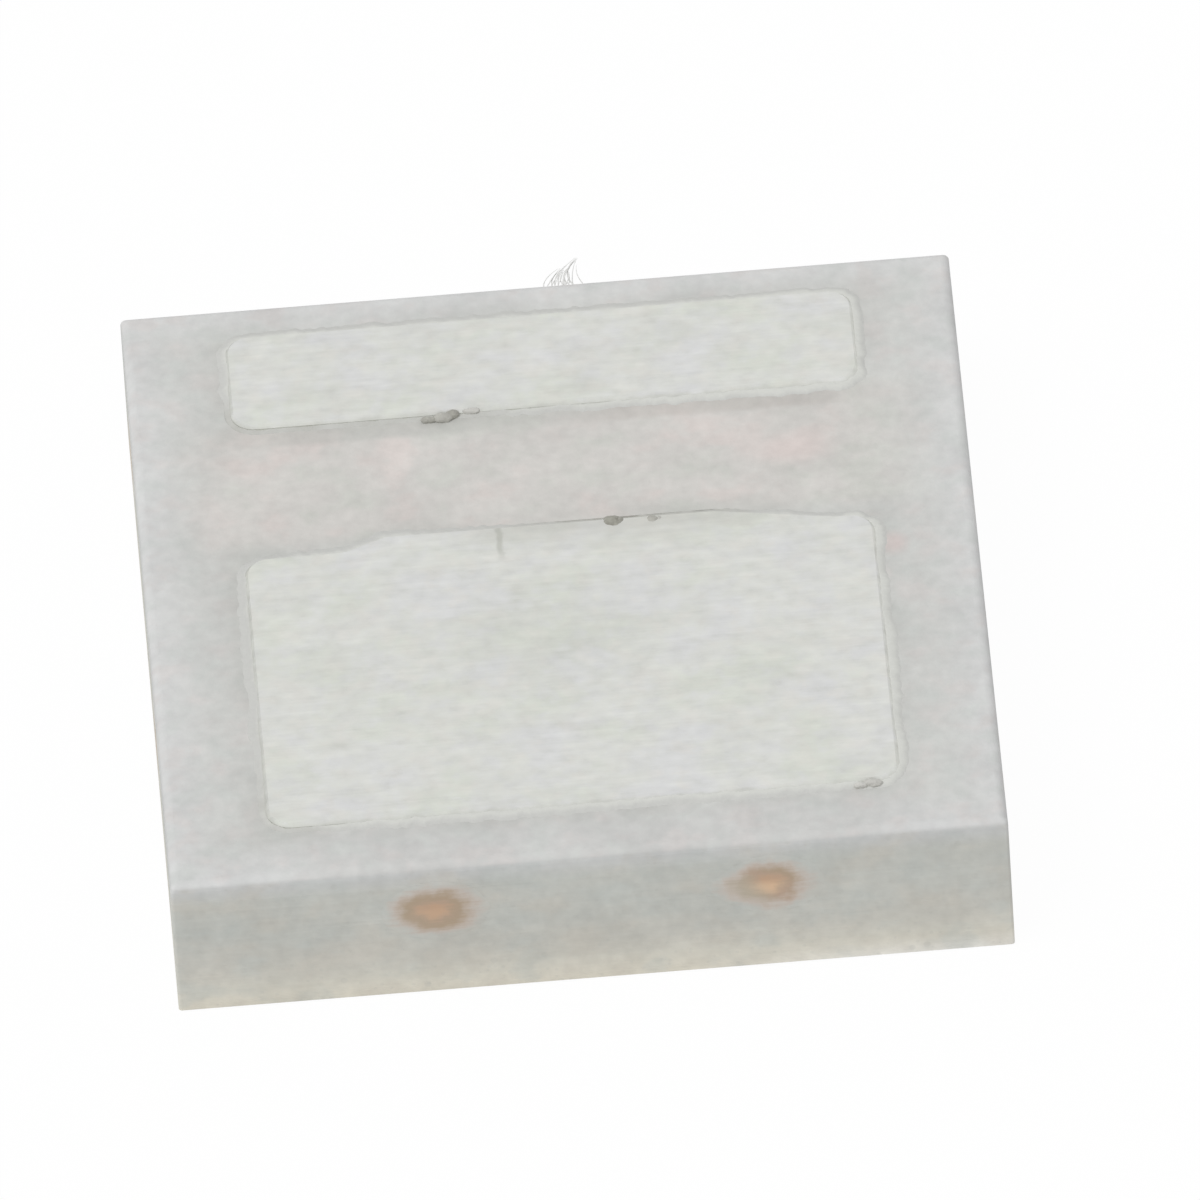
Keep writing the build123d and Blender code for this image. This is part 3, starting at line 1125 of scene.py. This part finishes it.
class Slot(Enum):
    """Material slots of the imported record."""

    MOULDING = "white_moulding"
    PLATING = "plated_copper"
    PHOSPHOR = "phosphor_silicone"
    CHIP = "chip"
    GLUE = "die_adhesive"
    WIRE = "gold_wire"
    SILICON = "silicon"
    SILVER_GLUE = "silver_epoxy"


def slot_finishes() -> dict[Slot, Material]:
    """Build the finish of every material slot of the record.

    Returns:
        Materials by slot.
    """
    glue = (tone(236, 236, 228), tone(220, 221, 212), 0.08, 0.012, 0.25)
    silicon = (tone(92, 92, 98), tone(66, 66, 74), 0.09, 0.008, 0.30, 0.3)
    silver = (tone(206, 206, 204), tone(168, 168, 166), 0.03, 0.006, 0.45, 0.9)
    finishes = {
        Slot.MOULDING: MouldingFinish(),
        Slot.PLATING: PlatingFinish(),
        Slot.PHOSPHOR: PhosphorFinish(),
        Slot.CHIP: ChipFinish(),
        Slot.GLUE: GrainyFinish("die_adhesive", *glue),
        Slot.WIRE: WireFinish(),
        Slot.SILICON: GrainyFinish("silicon", *silicon),
        Slot.SILVER_GLUE: GrainyFinish("silver_epoxy", *silver),
    }
    return {slot: finish.material() for slot, finish in finishes.items()}


def dress_nodes(frame: Frame, finishes: dict[Slot, Material]) -> None:
    """Give each CAD node the finish of its slot.

    Args:
        frame: The loaded frame.
        finishes: Materials by slot.
    """
    for row in frame["record"]["subparts"]:
        node = frame["nodes"][row["node"]]
        node.material_slots[0].material = finishes[Slot(row["material_slot"])]
        log.info("%s dressed as %s", row["node"], row["material_slot"])


@dataclass(frozen=True)
class Corner:
    """A point of a pad's outline. One with no round lies on a straight edge.

    Open says how far the groove is unfilled there, which also lays painted shade and stain in it,
    and the lip how far the flash is silvered and painted lighter, most along the pads' right sides.
    """

    x: float
    y: float
    round: float = 0.0
    open: float = 0.0
    lip: float = 0.0


@dataclass(frozen=True)
class PadEdge:
    """Flash and residue in the fine groove round one solder pad."""

    name: str
    corners: tuple[Corner, ...]
    face_z: float
    seed: int
    half_width: float = 0.038
    half_height: float = 0.0105
    sink: float = 0.0008
    open_depth: float = 0.017
    creep: float = 0.05
    most_creep: float = 0.010
    inset: float = 0.010
    step: float = 0.008
    broad_creep: Grain = Grain(0.14)
    fine_creep: Grain = Grain(0.035, 0.7, seed=4.0)
    flash_lumps: Grain = Grain(0.012, 0.002, 1)
    crumb_step: float = 0.0048
    crumb_radius: float = 0.0045
    crumb_share: float = 0.5
    crumb_spread: float = 0.007
    crumb_sink: float = 0.010
    crumb_flatness: float = 0.6
    crumb_open: Span = (0.25, 0.60)
    clumps: Grain = Grain(0.12, 1.0, 1, 2.0)
    clumps_edge: Span = (0.45, 0.65)
    crumb_lumps: Grain = Grain(0.005, 0.004, 1)

    def carrier(self) -> Mesh:
        """Closed outline along the middle of the groove."""
        points = [(corner.x, corner.y, self.face_z) for corner in self.corners]
        edges = [(index, (index + 1) % len(points)) for index in range(len(points))]
        return carrier_mesh(points, self.corners, ("round", "open", "lip"), edges)

    def route(self, growth: Growth, step: str) -> Term:
        """The outline as a curve with rounded corners.

        Args:
            growth: The tree under construction.
            step: Name of the step that divides it.

        Returns:
            The curve.
        """
        line = growth.node("GeometryNodeMeshToCurve", {"Mesh": growth.start})
        inputs = {"Curve": line, "Count": 10, "Radius": growth.mark("round")}
        rounded = growth.node("GeometryNodeFilletCurve", inputs, mode="POLY")
        return growth.divided(rounded, "LENGTH", "Length", growth.input(step))

    def flash(self, material: Material) -> Object:
        """Flash with a bell-shaped section that fills the groove and creeps up the pad's edge.

        Args:
            material: Its finish.

        Returns:
            The piece.
        """
        sizes = ("half_width", "half_height", "sink", "open_depth", "creep", "most_creep")
        growth = Growth(f"{self.name}_flash_tree", self, *sizes, "inset", "step")
        size = growth.input
        waver = growth.layers(self.broad_creep, self.fine_creep, place=growth.own_place())
        most = size("most_creep")
        creep = (size("creep") * waver).at_most(most).at_least(most * -1.0)
        line = growth.store(self.route(growth, "step"), "creep", creep)
        tangent = growth.node("GeometryNodeInputTangent")
        inward = growth.vector("CROSS_PRODUCT", (0.0, 0.0, 1.0), tangent)
        line = growth.store(line, "inward", inward, "FLOAT_VECTOR")
        circle = {"Resolution": 20, "Radius": 1.0}
        ring = growth.node("GeometryNodeCurvePrimitiveCircle", circle, mode="RADIUS")
        out, height, _ = growth.split(growth.place)
        ring = growth.store(ring, "across", out)
        bell = growth.join(size("half_width") * out, size("half_height") * height**3, 0.0)
        profile = growth.moved(ring, "Position", bell)
        curves = {"Curve": line, "Profile Curve": profile}
        strip = growth.node("GeometryNodeCurveToMesh", curves)
        inward_x, inward_y, _ = growth.split(growth.mark("inward", "FLOAT_VECTOR"))
        crept = growth.mark("creep")
        aside = size("inset") + crept
        climb = crept.at_least(0.0) * (1 - growth.mark("across")) * 0.5
        sink = size("sink") + growth.mark("open") * size("open_depth")
        rise = climb - sink + growth.layers(self.flash_lumps)
        strip = growth.moved(strip, "Offset", growth.join(inward_x * aside, inward_y * aside, rise))
        return growth.bake(f"{self.name}_flash", strip, material, self.carrier())

    def crumbs(self, material: Material) -> Object:
        """Crumbs of residue caught where the groove is open, grey lumps that also stand in for the
        open groove's shade.

        Args:
            material: Their finish.

        Returns:
            The piece.
        """
        sizes = ("crumb_step", "crumb_radius", "crumb_share", "crumb_spread", "crumb_sink")
        growth = Growth(f"{self.name}_crumb_tree", self, *sizes)
        route = self.route(growth, "crumb_step")
        clump = growth.noise(self.clumps).rise(*self.clumps_edge)
        chance = growth.mark("open").rise(*self.crumb_open) * clump * growth.input("crumb_share")
        picking = {"Probability": chance, "Seed": growth.seed}
        pick = growth.node("FunctionNodeRandomValue", picking, 3, data_type="BOOLEAN")
        size = growth.input("crumb_radius") * growth.random(0.4, 1.0, 1)
        scale = growth.join(size, size, size * self.crumb_flatness)
        turn = growth.turn(growth.random(0, 3, 2), growth.random(0, 3, 3), 0.0)
        ball = {"Radius": 1.0, "Subdivisions": 2}
        crumb = growth.node("GeometryNodeMeshIcoSphere", ball)
        aside = [growth.random(-1.0, 1.0, step) * growth.input("crumb_spread") for step in (4, 5)]
        under = growth.random(-1.0, 0.0, 6) * growth.input("crumb_sink")
        points = growth.moved(route, "Offset", growth.join(*aside, under))
        real = growth.copies(points, crumb, Selection=pick, Rotation=turn, Scale=scale)
        lumps = growth.layers(self.crumb_lumps)
        crumbs = growth.moved(real, "Offset", growth.join(lumps, lumps, lumps))
        return growth.bake(f"{self.name}_crumbs", crumbs, material, self.carrier())


@dataclass(frozen=True)
class PadOutlines:
    """Where the two pads' edges run, found from the frame and a few sizes of the pads."""

    edge_break: float = 0.012
    groove_width: float = 0.02
    corner_round: float = 0.10
    left_shoulder_width: float = 0.36
    left_shoulder_slope: float = 0.15
    left_shoulder_drop: float = 0.065
    right_shoulder_width: float = 0.14
    right_shoulder_slope: float = 0.43
    right_shoulder_drop: float = 0.08
    shoulder_round: float = 0.12

    def reach(self, frame: Frame, node: str) -> tuple[float, float, float, float]:
        """Sides of the groove's middle round a pad: left, right, near and far."""
        xs, ys, _ = zip(*side_points(frame, node, 2, True))
        out = self.edge_break + self.groove_width / 2
        return min(xs) - out, max(xs) + out, min(ys) - out, max(ys) + out

    def anode(self, frame: Frame, face_z: float) -> PadEdge:
        """Edge of the narrow pad.

        Args:
            frame: The loaded frame.
            face_z: Level of the moulded face.

        Returns:
            The edge.
        """
        left, right, near, far = self.reach(frame, "anode_lead")
        turn = self.corner_round
        # The lip is larger on the right side, where the flash is painted lighter.
        corners = (
            Corner(left, near, turn, 0.38, 0.0),
            Corner(-0.85, near, open=0.33),
            Corner(-0.50, near, open=0.32),
            Corner(-0.30, near, open=0.35),
            Corner(-0.05, near, open=0.22, lip=0.1),
            Corner(0.40, near, open=0.10, lip=0.5),
            Corner(right, near, turn, 0.05, 0.6),
            Corner(right, far, turn, 0.0, 0.5),
            Corner(0.3, far, lip=0.05),
            Corner(-0.5, far, lip=0.05),
            Corner(left, far, turn, 0.0, 0.25),
            Corner(left, near + 0.25, lip=0.2),
        )
        return PadEdge("anode_pad", corners, face_z, seed=7)

    def cathode(self, frame: Frame, face_z: float) -> PadEdge:
        """Edge of the wide pad, with its shoulders towards the gap.

        Args:
            frame: The loaded frame.
            face_z: Level of the moulded face.

        Returns:
            The edge.
        """
        left, right, near, far = self.reach(frame, "cathode_lead")
        turn, bend = self.corner_round, self.shoulder_round
        left_low, right_low = far - self.left_shoulder_drop, far - self.right_shoulder_drop
        left_foot = left + self.left_shoulder_width
        right_foot = right - self.right_shoulder_width
        # The lip is larger on the right side, where the flash is painted lighter.
        corners = (
            Corner(left, near, turn, 0.35, 0.1),
            Corner(-0.75, near, open=0.05, lip=0.4),
            Corner(0.0, near, lip=0.4),
            Corner(0.70, near, lip=0.4),
            Corner(right, near, turn, 0.10, 0.6),
            Corner(right, -0.7, lip=0.7),
            Corner(right, -0.15, open=0.05, lip=0.7),
            Corner(right, right_low, turn, 0.0, 0.6),
            Corner(right_foot, right_low, bend, 0.05),
            Corner(right_foot - self.right_shoulder_slope, far, bend, 0.35, -0.2),
            Corner(0.35, far, open=0.45, lip=-0.3),
            Corner(0.15, far, open=0.50, lip=-0.3),
            Corner(-0.2, far, open=0.25, lip=-0.3),
            Corner(left_foot + self.left_shoulder_slope, far, bend),
            Corner(left_foot, left_low, bend),
            Corner(left, left_low, turn, 0.05),
            Corner(left, -0.6, lip=-0.05),
        )
        return PadEdge("cathode_pad", corners, face_z, seed=12)


@dataclass(frozen=True)
class Speck:
    """A lump of dark residue: its place, half its size, and how pale it is."""

    x: float
    y: float
    half_width: float
    half_length: float
    half_height: float
    pale: float = 0.0


@dataclass(frozen=True)
class Residue:
    """The dark lumps that sit on the pads' edges."""

    face_z: float
    rise: float = 0.008
    raggedness: float = 0.55
    swirls: float = 32.0
    flatness: float = 0.4
    seed: int = 3
    specks: tuple[Speck, ...] = (
        Speck(-0.374, 0.824, 0.038, 0.021, 0.019, 0.50),
        Speck(-0.338, 0.836, 0.024, 0.019, 0.018, 0.25),
        Speck(-0.424, 0.817, 0.028, 0.011, 0.015, 0.35),
        Speck(-0.270, 0.846, 0.036, 0.013, 0.014, 0.9),
        Speck(0.197, 0.200, 0.040, 0.032, 0.020),
        Speck(0.224, 0.204, 0.020, 0.020, 0.017, 0.15),
        Speck(0.342, 0.196, 0.026, 0.024, 0.017, 0.38),
        Speck(0.366, 0.198, 0.013, 0.014, 0.015, 0.65),
        Speck(1.034, -1.258, 0.036, 0.017, 0.017, 0.85),
        Speck(0.990, -1.268, 0.026, 0.012, 0.015, 1.0),
    )

    def build(self, material: Material) -> Object:
        """Grow the lumps.

        Args:
            material: Their finish.

        Returns:
            The piece.
        """
        growth = Growth("residue_tree", self, "raggedness", "swirls", "flatness")
        halves = ("half_width", "half_length", "half_height")
        scale = growth.join(*(growth.mark(name) for name in halves))
        ball = growth.node("GeometryNodeMeshIcoSphere", {"Radius": 1.0, "Subdivisions": 4})
        real = growth.copies(growth.start, ball, Scale=scale)
        inputs = {"Vector": growth.own_place(), "Scale": growth.input("swirls"), "Detail": 3.0}
        swirl = growth.node("ShaderNodeTexNoise", inputs, "Color")
        centred = growth.vector("SUBTRACT", swirl, (0.5, 0.5, 0.5))
        reach = growth.input("raggedness") * growth.mark("half_width")
        reach = growth.join(reach, reach, reach * growth.input("flatness"))
        lumps = growth.moved(real, "Offset", growth.vector("MULTIPLY", centred, reach))
        points = [(speck.x, speck.y, self.face_z + self.rise) for speck in self.specks]
        carrier = carrier_mesh(points, self.specks, (*halves, "pale"))
        return growth.bake("residue_specks", lumps, material, carrier)


class Wall(Enum):
    """Walls of the body: axis, whether it is the side of larger values, and turn of its smears."""

    NEAR = (1, False, 0.0)
    RIGHT = (0, True, math.pi / 2)
    FAR = (1, True, math.pi)
    LEFT = (0, False, -math.pi / 2)

    def __init__(self, axis: int, high: bool, turn: float) -> None:
        """Take the wall's axis, its side and its turn about Z from the near wall."""
        self.axis, self.high, self.turn = axis, high, turn


@dataclass(frozen=True)
class SawnEnd:
    """The sawn end of a tie bar: its middle, its wall's turn, and its tail as a signed share."""

    place: Vector
    turn: float
    tail: float


@dataclass(frozen=True)
class TieBarSmears:
    """Copper that the saw dragged over the tie bars' ends and a little way past them."""

    half_width: float = 0.205
    half_height: float = 0.152
    drift: float = 0.042
    drop: float = 0.012
    sink: float = 0.0011
    thickness: float = 0.003
    raggedness: float = 0.016
    longest_tail: float = 0.03
    tail_from: Span = (0.2, 1.0)
    pinch: float = -0.30
    wobble: Grain = Grain(0.045, 2.0, 3, 4.0)
    ripple: Grain = Grain(0.02, 1.2, 2, 8.0)
    seed: int = 5
    near_tails: Span = (-0.25, -1.0)
    far_tails: Span = (0.4, -0.3)
    side_tail: float = 0.3

    def ends(self, frame: Frame) -> list[SawnEnd]:
        """Find the tie bars' sawn ends.

        Args:
            frame: The loaded frame.

        Returns:
            The ends, each at the middle of its smear.
        """
        found = []
        for node, wall, tails in (
            ("cathode_lead", Wall.NEAR, self.near_tails),
            ("anode_lead", Wall.FAR, self.far_tails),
        ):
            points = side_points(frame, node, wall.axis, wall.high)
            for side, tail in zip((-1, 1), tails):
                half = [point for point in points if point.x * side > 0]
                found.append((middle(half), wall.turn, tail))
        for node in ("cathode_lead", "anode_lead"):
            for wall in (Wall.LEFT, Wall.RIGHT):
                points = side_points(frame, node, wall.axis, wall.high)
                found.append((middle(points), wall.turn, self.side_tail))
        shift = Vector((self.drift, self.sink, -self.drop))
        return [
            SawnEnd(place + Matrix.Rotation(turn, 3, "Z") @ shift, turn, tail)
            for place, turn, tail in found
        ]

    def build(self, frame: Frame, material: Material) -> Object:
        """Grow the smears.

        Args:
            frame: The loaded frame.
            material: Their finish.

        Returns:
            The piece.
        """
        sizes = ("half_width", "half_height", "thickness", "raggedness", "longest_tail")
        growth = Growth("smear_tree", self, *sizes)
        size, heading, tail = growth.input, growth.mark("turn"), growth.mark("tail")
        globe = {"Segments": 56, "Rings": 24, "Radius": 1.0}
        ball = growth.node("GeometryNodeMeshUVSphere", globe)
        marked = growth.store(ball, "local", growth.place, "FLOAT_VECTOR")
        scale = growth.join(size("half_width"), size("thickness"), size("half_height"))
        turn = growth.turn(0.0, 0.0, heading)
        real = growth.copies(growth.start, marked, Rotation=turn, Scale=scale)
        local_x, _, local_z = growth.split(growth.mark("local", "FLOAT_VECTOR"))
        stretch = (local_x * growth.maths("SIGN", tail)).rise(*self.tail_from)
        rough = size("raggedness")
        along = tail * stretch * size("longest_tail") + growth.layers(self.wobble) * rough
        pinch = stretch * tail.size() * local_z * size("half_height") * self.pinch
        upward = pinch + growth.layers(self.ripple) * rough
        cosine, sine = (growth.maths(name, heading) for name in ("COSINE", "SINE"))
        offset = growth.join(along * cosine, along * sine, upward)
        smears = growth.moved(real, "Offset", offset)
        ends = self.ends(frame)
        carrier = carrier_mesh([tuple(end.place) for end in ends], ends, ("turn", "tail"))
        return growth.bake("tie_bar_smears", smears, material, carrier)


@dataclass(frozen=True)
class RoutePoint:
    """A point of a wire's route, which may carry a flattened ball."""

    place: Point
    bond: float = 0.0


@dataclass(frozen=True)
class BondWire:
    """One gold wire from a ball on a die to a stitch, in the place of its CAD node."""

    node: str
    die: str
    ball_at_high_corner: bool = False
    wire_radius: float = 0.0125
    bond_radius: float = 0.036
    bond_half_height: float = 0.0168
    arch: float = 0.006
    step: float = 0.008
    seed: int = 0

    def route(self) -> list[RoutePoint]:
        """Work out the wire's loop from ball to stitch from the CAD node's box.

        Returns:
            Points of the loop.
        """
        low, high = (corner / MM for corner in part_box(self.node))
        inset = Vector((self.bond_radius, self.bond_radius, 0.0))
        start, end = low + inset, high - inset
        if self.ball_at_high_corner:
            start, end = end, start
        ball_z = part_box(self.die)[0].z / MM
        loop_z = low.z + self.wire_radius
        levels = (
            (0.0, ball_z),
            (0.0, (ball_z + loop_z) / 2),
            (0.05, loop_z + self.arch),
            (0.16, loop_z),
            (0.42, loop_z + self.arch),
            (0.75, loop_z + 0.4 * (high.z - loop_z)),
            (1.0, high.z - self.wire_radius),
        )
        places = [(*start.lerp(end, share).xy, level) for share, level in levels]
        first, *inner, last = places
        return [RoutePoint(first, 1.0), *map(RoutePoint, inner), RoutePoint(last, 1.0)]

    def build(self, material: Material) -> Object:
        """Grow the wire along a smooth curve, with a flattened ball at each end.

        Args:
            material: Its finish.

        Returns:
            The piece.
        """
        sizes = ("wire_radius", "bond_radius", "bond_half_height", "step")
        growth = Growth(f"{self.node}_tree", self, *sizes)
        line = growth.node("GeometryNodeMeshToCurve", {"Mesh": growth.start})
        spline = {"Curve": line}
        smooth = growth.node("GeometryNodeCurveSplineType", spline, spline_type="CATMULL_ROM")
        route = growth.divided(smooth, "LENGTH", "Length", growth.input("step"))
        tube = growth.tube(route, 14, growth.input("wire_radius"))
        radius = growth.input("bond_radius")
        scale = growth.join(radius, radius, growth.input("bond_half_height"))
        globe = {"Segments": 20, "Rings": 10, "Radius": 1.0}
        ball = growth.node("GeometryNodeMeshUVSphere", globe)
        balls = growth.copies(growth.start, ball, Selection=growth.mark("bond"), Scale=scale)
        both = growth.node("GeometryNodeJoinGeometry", {0: balls})
        growth.feed(both.socket.node.inputs[0], tube)
        points = self.route()
        edges = [(index, index + 1) for index in range(len(points) - 1)]
        carrier = carrier_mesh([point.place for point in points], points, ("bond",), edges)
        return growth.bake(f"{self.node}_smooth", both, material, carrier)


@dataclass(frozen=True)
class Fibre:
    """Wisp of fine fibres caught on the far edge of the body, drawn together at its tip."""

    x: float = 0.10
    strands: int = 22
    radius: float = 0.0023
    half_spread: float = 0.075
    lean: float = 0.065
    out: float = 0.098
    up: float = 0.040
    curl: float = 0.12
    curl_up: float = 0.4
    taper: float = 0.7
    least_reach: float = 0.35
    narrowing: float = 0.9
    steepness: float = 1.4
    root: Span = (0.012, 0.006)
    seed: int = 4

    def build(self, body_top: Vector, material: Material) -> Object:
        """Grow the strands.

        Args:
            body_top: High corner of the body in millimetres.
            material: Their finish.

        Returns:
            The piece.
        """
        sizes = ("radius", "half_spread", "lean", "out", "up", "curl", "taper")
        growth = Growth("edge_fibre_tree", self, *sizes)
        size, points = growth.input, growth.start
        for step, name in enumerate(("side", "reach", "bend"), start=1):
            points = growth.store(points, name, growth.random(0.0, 1.0, step))
        ends = {"Start": (0, 0, 0), "End": (1, 0, 0)}
        line = growth.node("GeometryNodeCurvePrimitiveLine", ends)
        real = growth.copies(points, growth.divided(line, "COUNT", "Count", 14))
        along = growth.node("GeometryNodeSplineParameter", output="Factor")
        least, steep = self.least_reach, self.steepness
        reach = (least + growth.mark("reach") * (1 - least)) * along
        drawn = 1 - reach * self.narrowing
        aside = (growth.mark("side") * 2 - 1) * size("half_spread") * drawn
        curl = (growth.mark("bend") - 0.5) * along * (1 - along) * size("curl")
        target = growth.join(
            aside + reach * reach * size("lean") + curl,
            reach * size("out"),
            reach * (steep - (steep - 1) * reach) * size("up") + curl * self.curl_up,
        )
        inward, down = self.root
        foot = growth.join(self.x, body_top.y - inward, body_top.z - down)
        grown = growth.moved(real, "Position", growth.vector("ADD", foot, target))
        tubes = growth.tube(grown, 6, size("radius"), Scale=1 - along * size("taper"))
        carrier = carrier_mesh([(0.0, 0.0, 0.0)] * self.strands)
        return growth.bake("edge_fibre", tubes, material, carrier)


@dataclass(frozen=True)
class Studio:
    """Floor, soft light from above and the camera at the photograph's angle."""

    azimuth: float = 1.29
    elevation: float = 43.29
    roll: float = -3.685
    distance: float = 191.7
    aim: Point = (0.134, 0.141, 0.31)
    lens: float = 1600.0
    sensor: float = 36.0
    floor_half_width: float = 120.0
    floor_gap: float = 0.002
    floor_white_share: float = 0.97
    floor_grey: float = 0.93
    sky_level: float = 0.56
    key_level: float = 0.45
    key_spread: float = 40.0
    key_from: Point = (-0.45, -0.35, 1.0)

    def floor(self) -> None:
        """Plain pale floor that shows white to the camera and keeps a faint shadow."""
        surface = Surface("pale_floor")
        grey = (self.floor_grey,) * 3 + (1.0,)
        matte = surface.node("ShaderNodeBsdfDiffuse", {"Color": grey})
        white = surface.node("ShaderNodeEmission", {"Color": WHITE})
        share = surface.seen() * self.floor_white_share
        mixed = surface.node("ShaderNodeMixShader", {0: share, 1: matte, 2: white})
        surface.end("ShaderNodeOutputMaterial", "Surface", mixed)
        outline = bmesh.new()
        half = self.floor_half_width * MM
        bmesh.ops.create_grid(outline, x_segments=2, y_segments=2, size=half)
        bmesh.ops.translate(outline, vec=(0, 0, -self.floor_gap * MM), verts=outline.verts)
        mesh = bpy.data.meshes.new("floor")
        outline.to_mesh(mesh)
        outline.free()
        mesh.materials.append(surface.made)
        add_object("floor", mesh)

    def light(self) -> None:
        """White surroundings at a plain level, and one broad soft lamp from above."""
        world = bpy.data.worlds.new("studio")
        bpy.context.scene.world = world
        world.use_nodes = True
        sky = Graph(world.node_tree)
        strength = self.sky_level + sky.seen() * (1 - self.sky_level)
        glow = sky.node("ShaderNodeBackground", {"Color": WHITE, "Strength": strength})
        sky.end("ShaderNodeOutputWorld", "Surface", glow)
        lamp = bpy.data.lights.new("key", "SUN")
        lamp.energy = self.key_level * math.pi
        lamp.angle = math.radians(self.key_spread)
        key = add_object("key", lamp)
        key.visible_glossy = False
        key.rotation_mode = "QUATERNION"
        key.rotation_quaternion = Vector(self.key_from).to_track_quat("Z", "Y")

    def camera(self) -> None:
        """Camera far off with a long lens, turned a little about its own axis."""
        azimuth, elevation, roll = map(math.radians, (self.azimuth, self.elevation, self.roll))
        level = math.cos(elevation)
        ahead = (math.sin(azimuth) * level, math.cos(azimuth) * level, -math.sin(elevation))
        forward = Vector(ahead)
        right = Vector((math.cos(azimuth), -math.sin(azimuth), 0.0))
        upward = right.cross(forward)
        side = math.cos(roll) * right + math.sin(roll) * upward
        top = math.cos(roll) * upward - math.sin(roll) * right
        data = bpy.data.cameras.new("camera")
        data.lens, data.sensor_width = self.lens, self.sensor
        data.clip_start = self.distance * MM / 10
        data.clip_end = self.distance * MM * 10
        camera = add_object("camera", data)
        turned = Matrix((side, top, -forward)).transposed().to_4x4()
        place = (Vector(self.aim) - forward * self.distance) * MM
        camera.matrix_world = Matrix.Translation(place) @ turned
        bpy.context.scene.camera = camera

    def build(self) -> None:
        """Set up floor, light, camera and colour management."""
        self.floor()
        self.light()
        self.camera()
        bpy.context.scene.view_settings.view_transform = "Standard"
        log.info("studio ready")


def seat(piece: Object, node: str = "") -> None:
    """Let a finished piece ride on the part, and report it.

    Args:
        piece: The piece, at its place in the frame.
        node: CAD node that it stands for.
    """
    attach(piece, BODY)
    if node:
        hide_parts(node)
    log.info("%s: %d faces", piece.name, len(piece.data.polygons))


def add_growth(frame: Frame, finishes: dict[Slot, Material]) -> None:
    """Add what grows on the package or stands for mitred CAD pieces.

    Args:
        frame: The loaded frame.
        finishes: Materials by slot.
    """
    body_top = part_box("moulded_body")[1] / MM
    dark = (tone(164, 163, 153), tone(136, 134, 125), 0.03, 0.008, 0.55)
    pale = (tone(158, 156, 146), tone(140, 138, 127), 0.03, 0.008, 0.6)
    linen = (tone(234, 234, 232), tone(226, 226, 224), 0.05, 0.006, 0.7)
    residue = GrainyFinish("dark_residue", *dark, relief=0.002, pale=tone(204, 203, 198))
    flash = FlashFinish().material()
    # Grey residue crumbs, also put in the open groove in place of its shade.
    crumb_dust_and_shade = GrainyFinish("pale_residue", *pale).material()
    outlines = PadOutlines()
    for edge in (outlines.anode(frame, body_top.z), outlines.cathode(frame, body_top.z)):
        seat(edge.flash(flash))
        seat(edge.crumbs(crumb_dust_and_shade))
    seat(Residue(body_top.z).build(residue.material()))
    seat(TieBarSmears().build(frame, SmearFinish().material()))
    for wire in (
        BondWire("bond_wire_anode", "chip_1"),
        BondWire("bond_wire_link", "chip_1"),
        BondWire("bond_wire_cathode", "chip_2"),
        BondWire("esd_wire", "esd_diode", ball_at_high_corner=True),
    ):
        seat(wire.build(finishes[Slot.WIRE]), wire.node)
    seat(Fibre().build(body_top, GrainyFinish("fibre", *linen).material()))


def main() -> None:
    """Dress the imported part, add its fine pieces and set up the studio."""
    logging.basicConfig(level=logging.INFO, format="%(name)s: %(message)s")
    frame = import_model()
    Studio().build()
    finishes = slot_finishes()
    dress_nodes(frame, finishes)
    add_growth(frame, finishes)


if __name__ == "__main__":
    main()
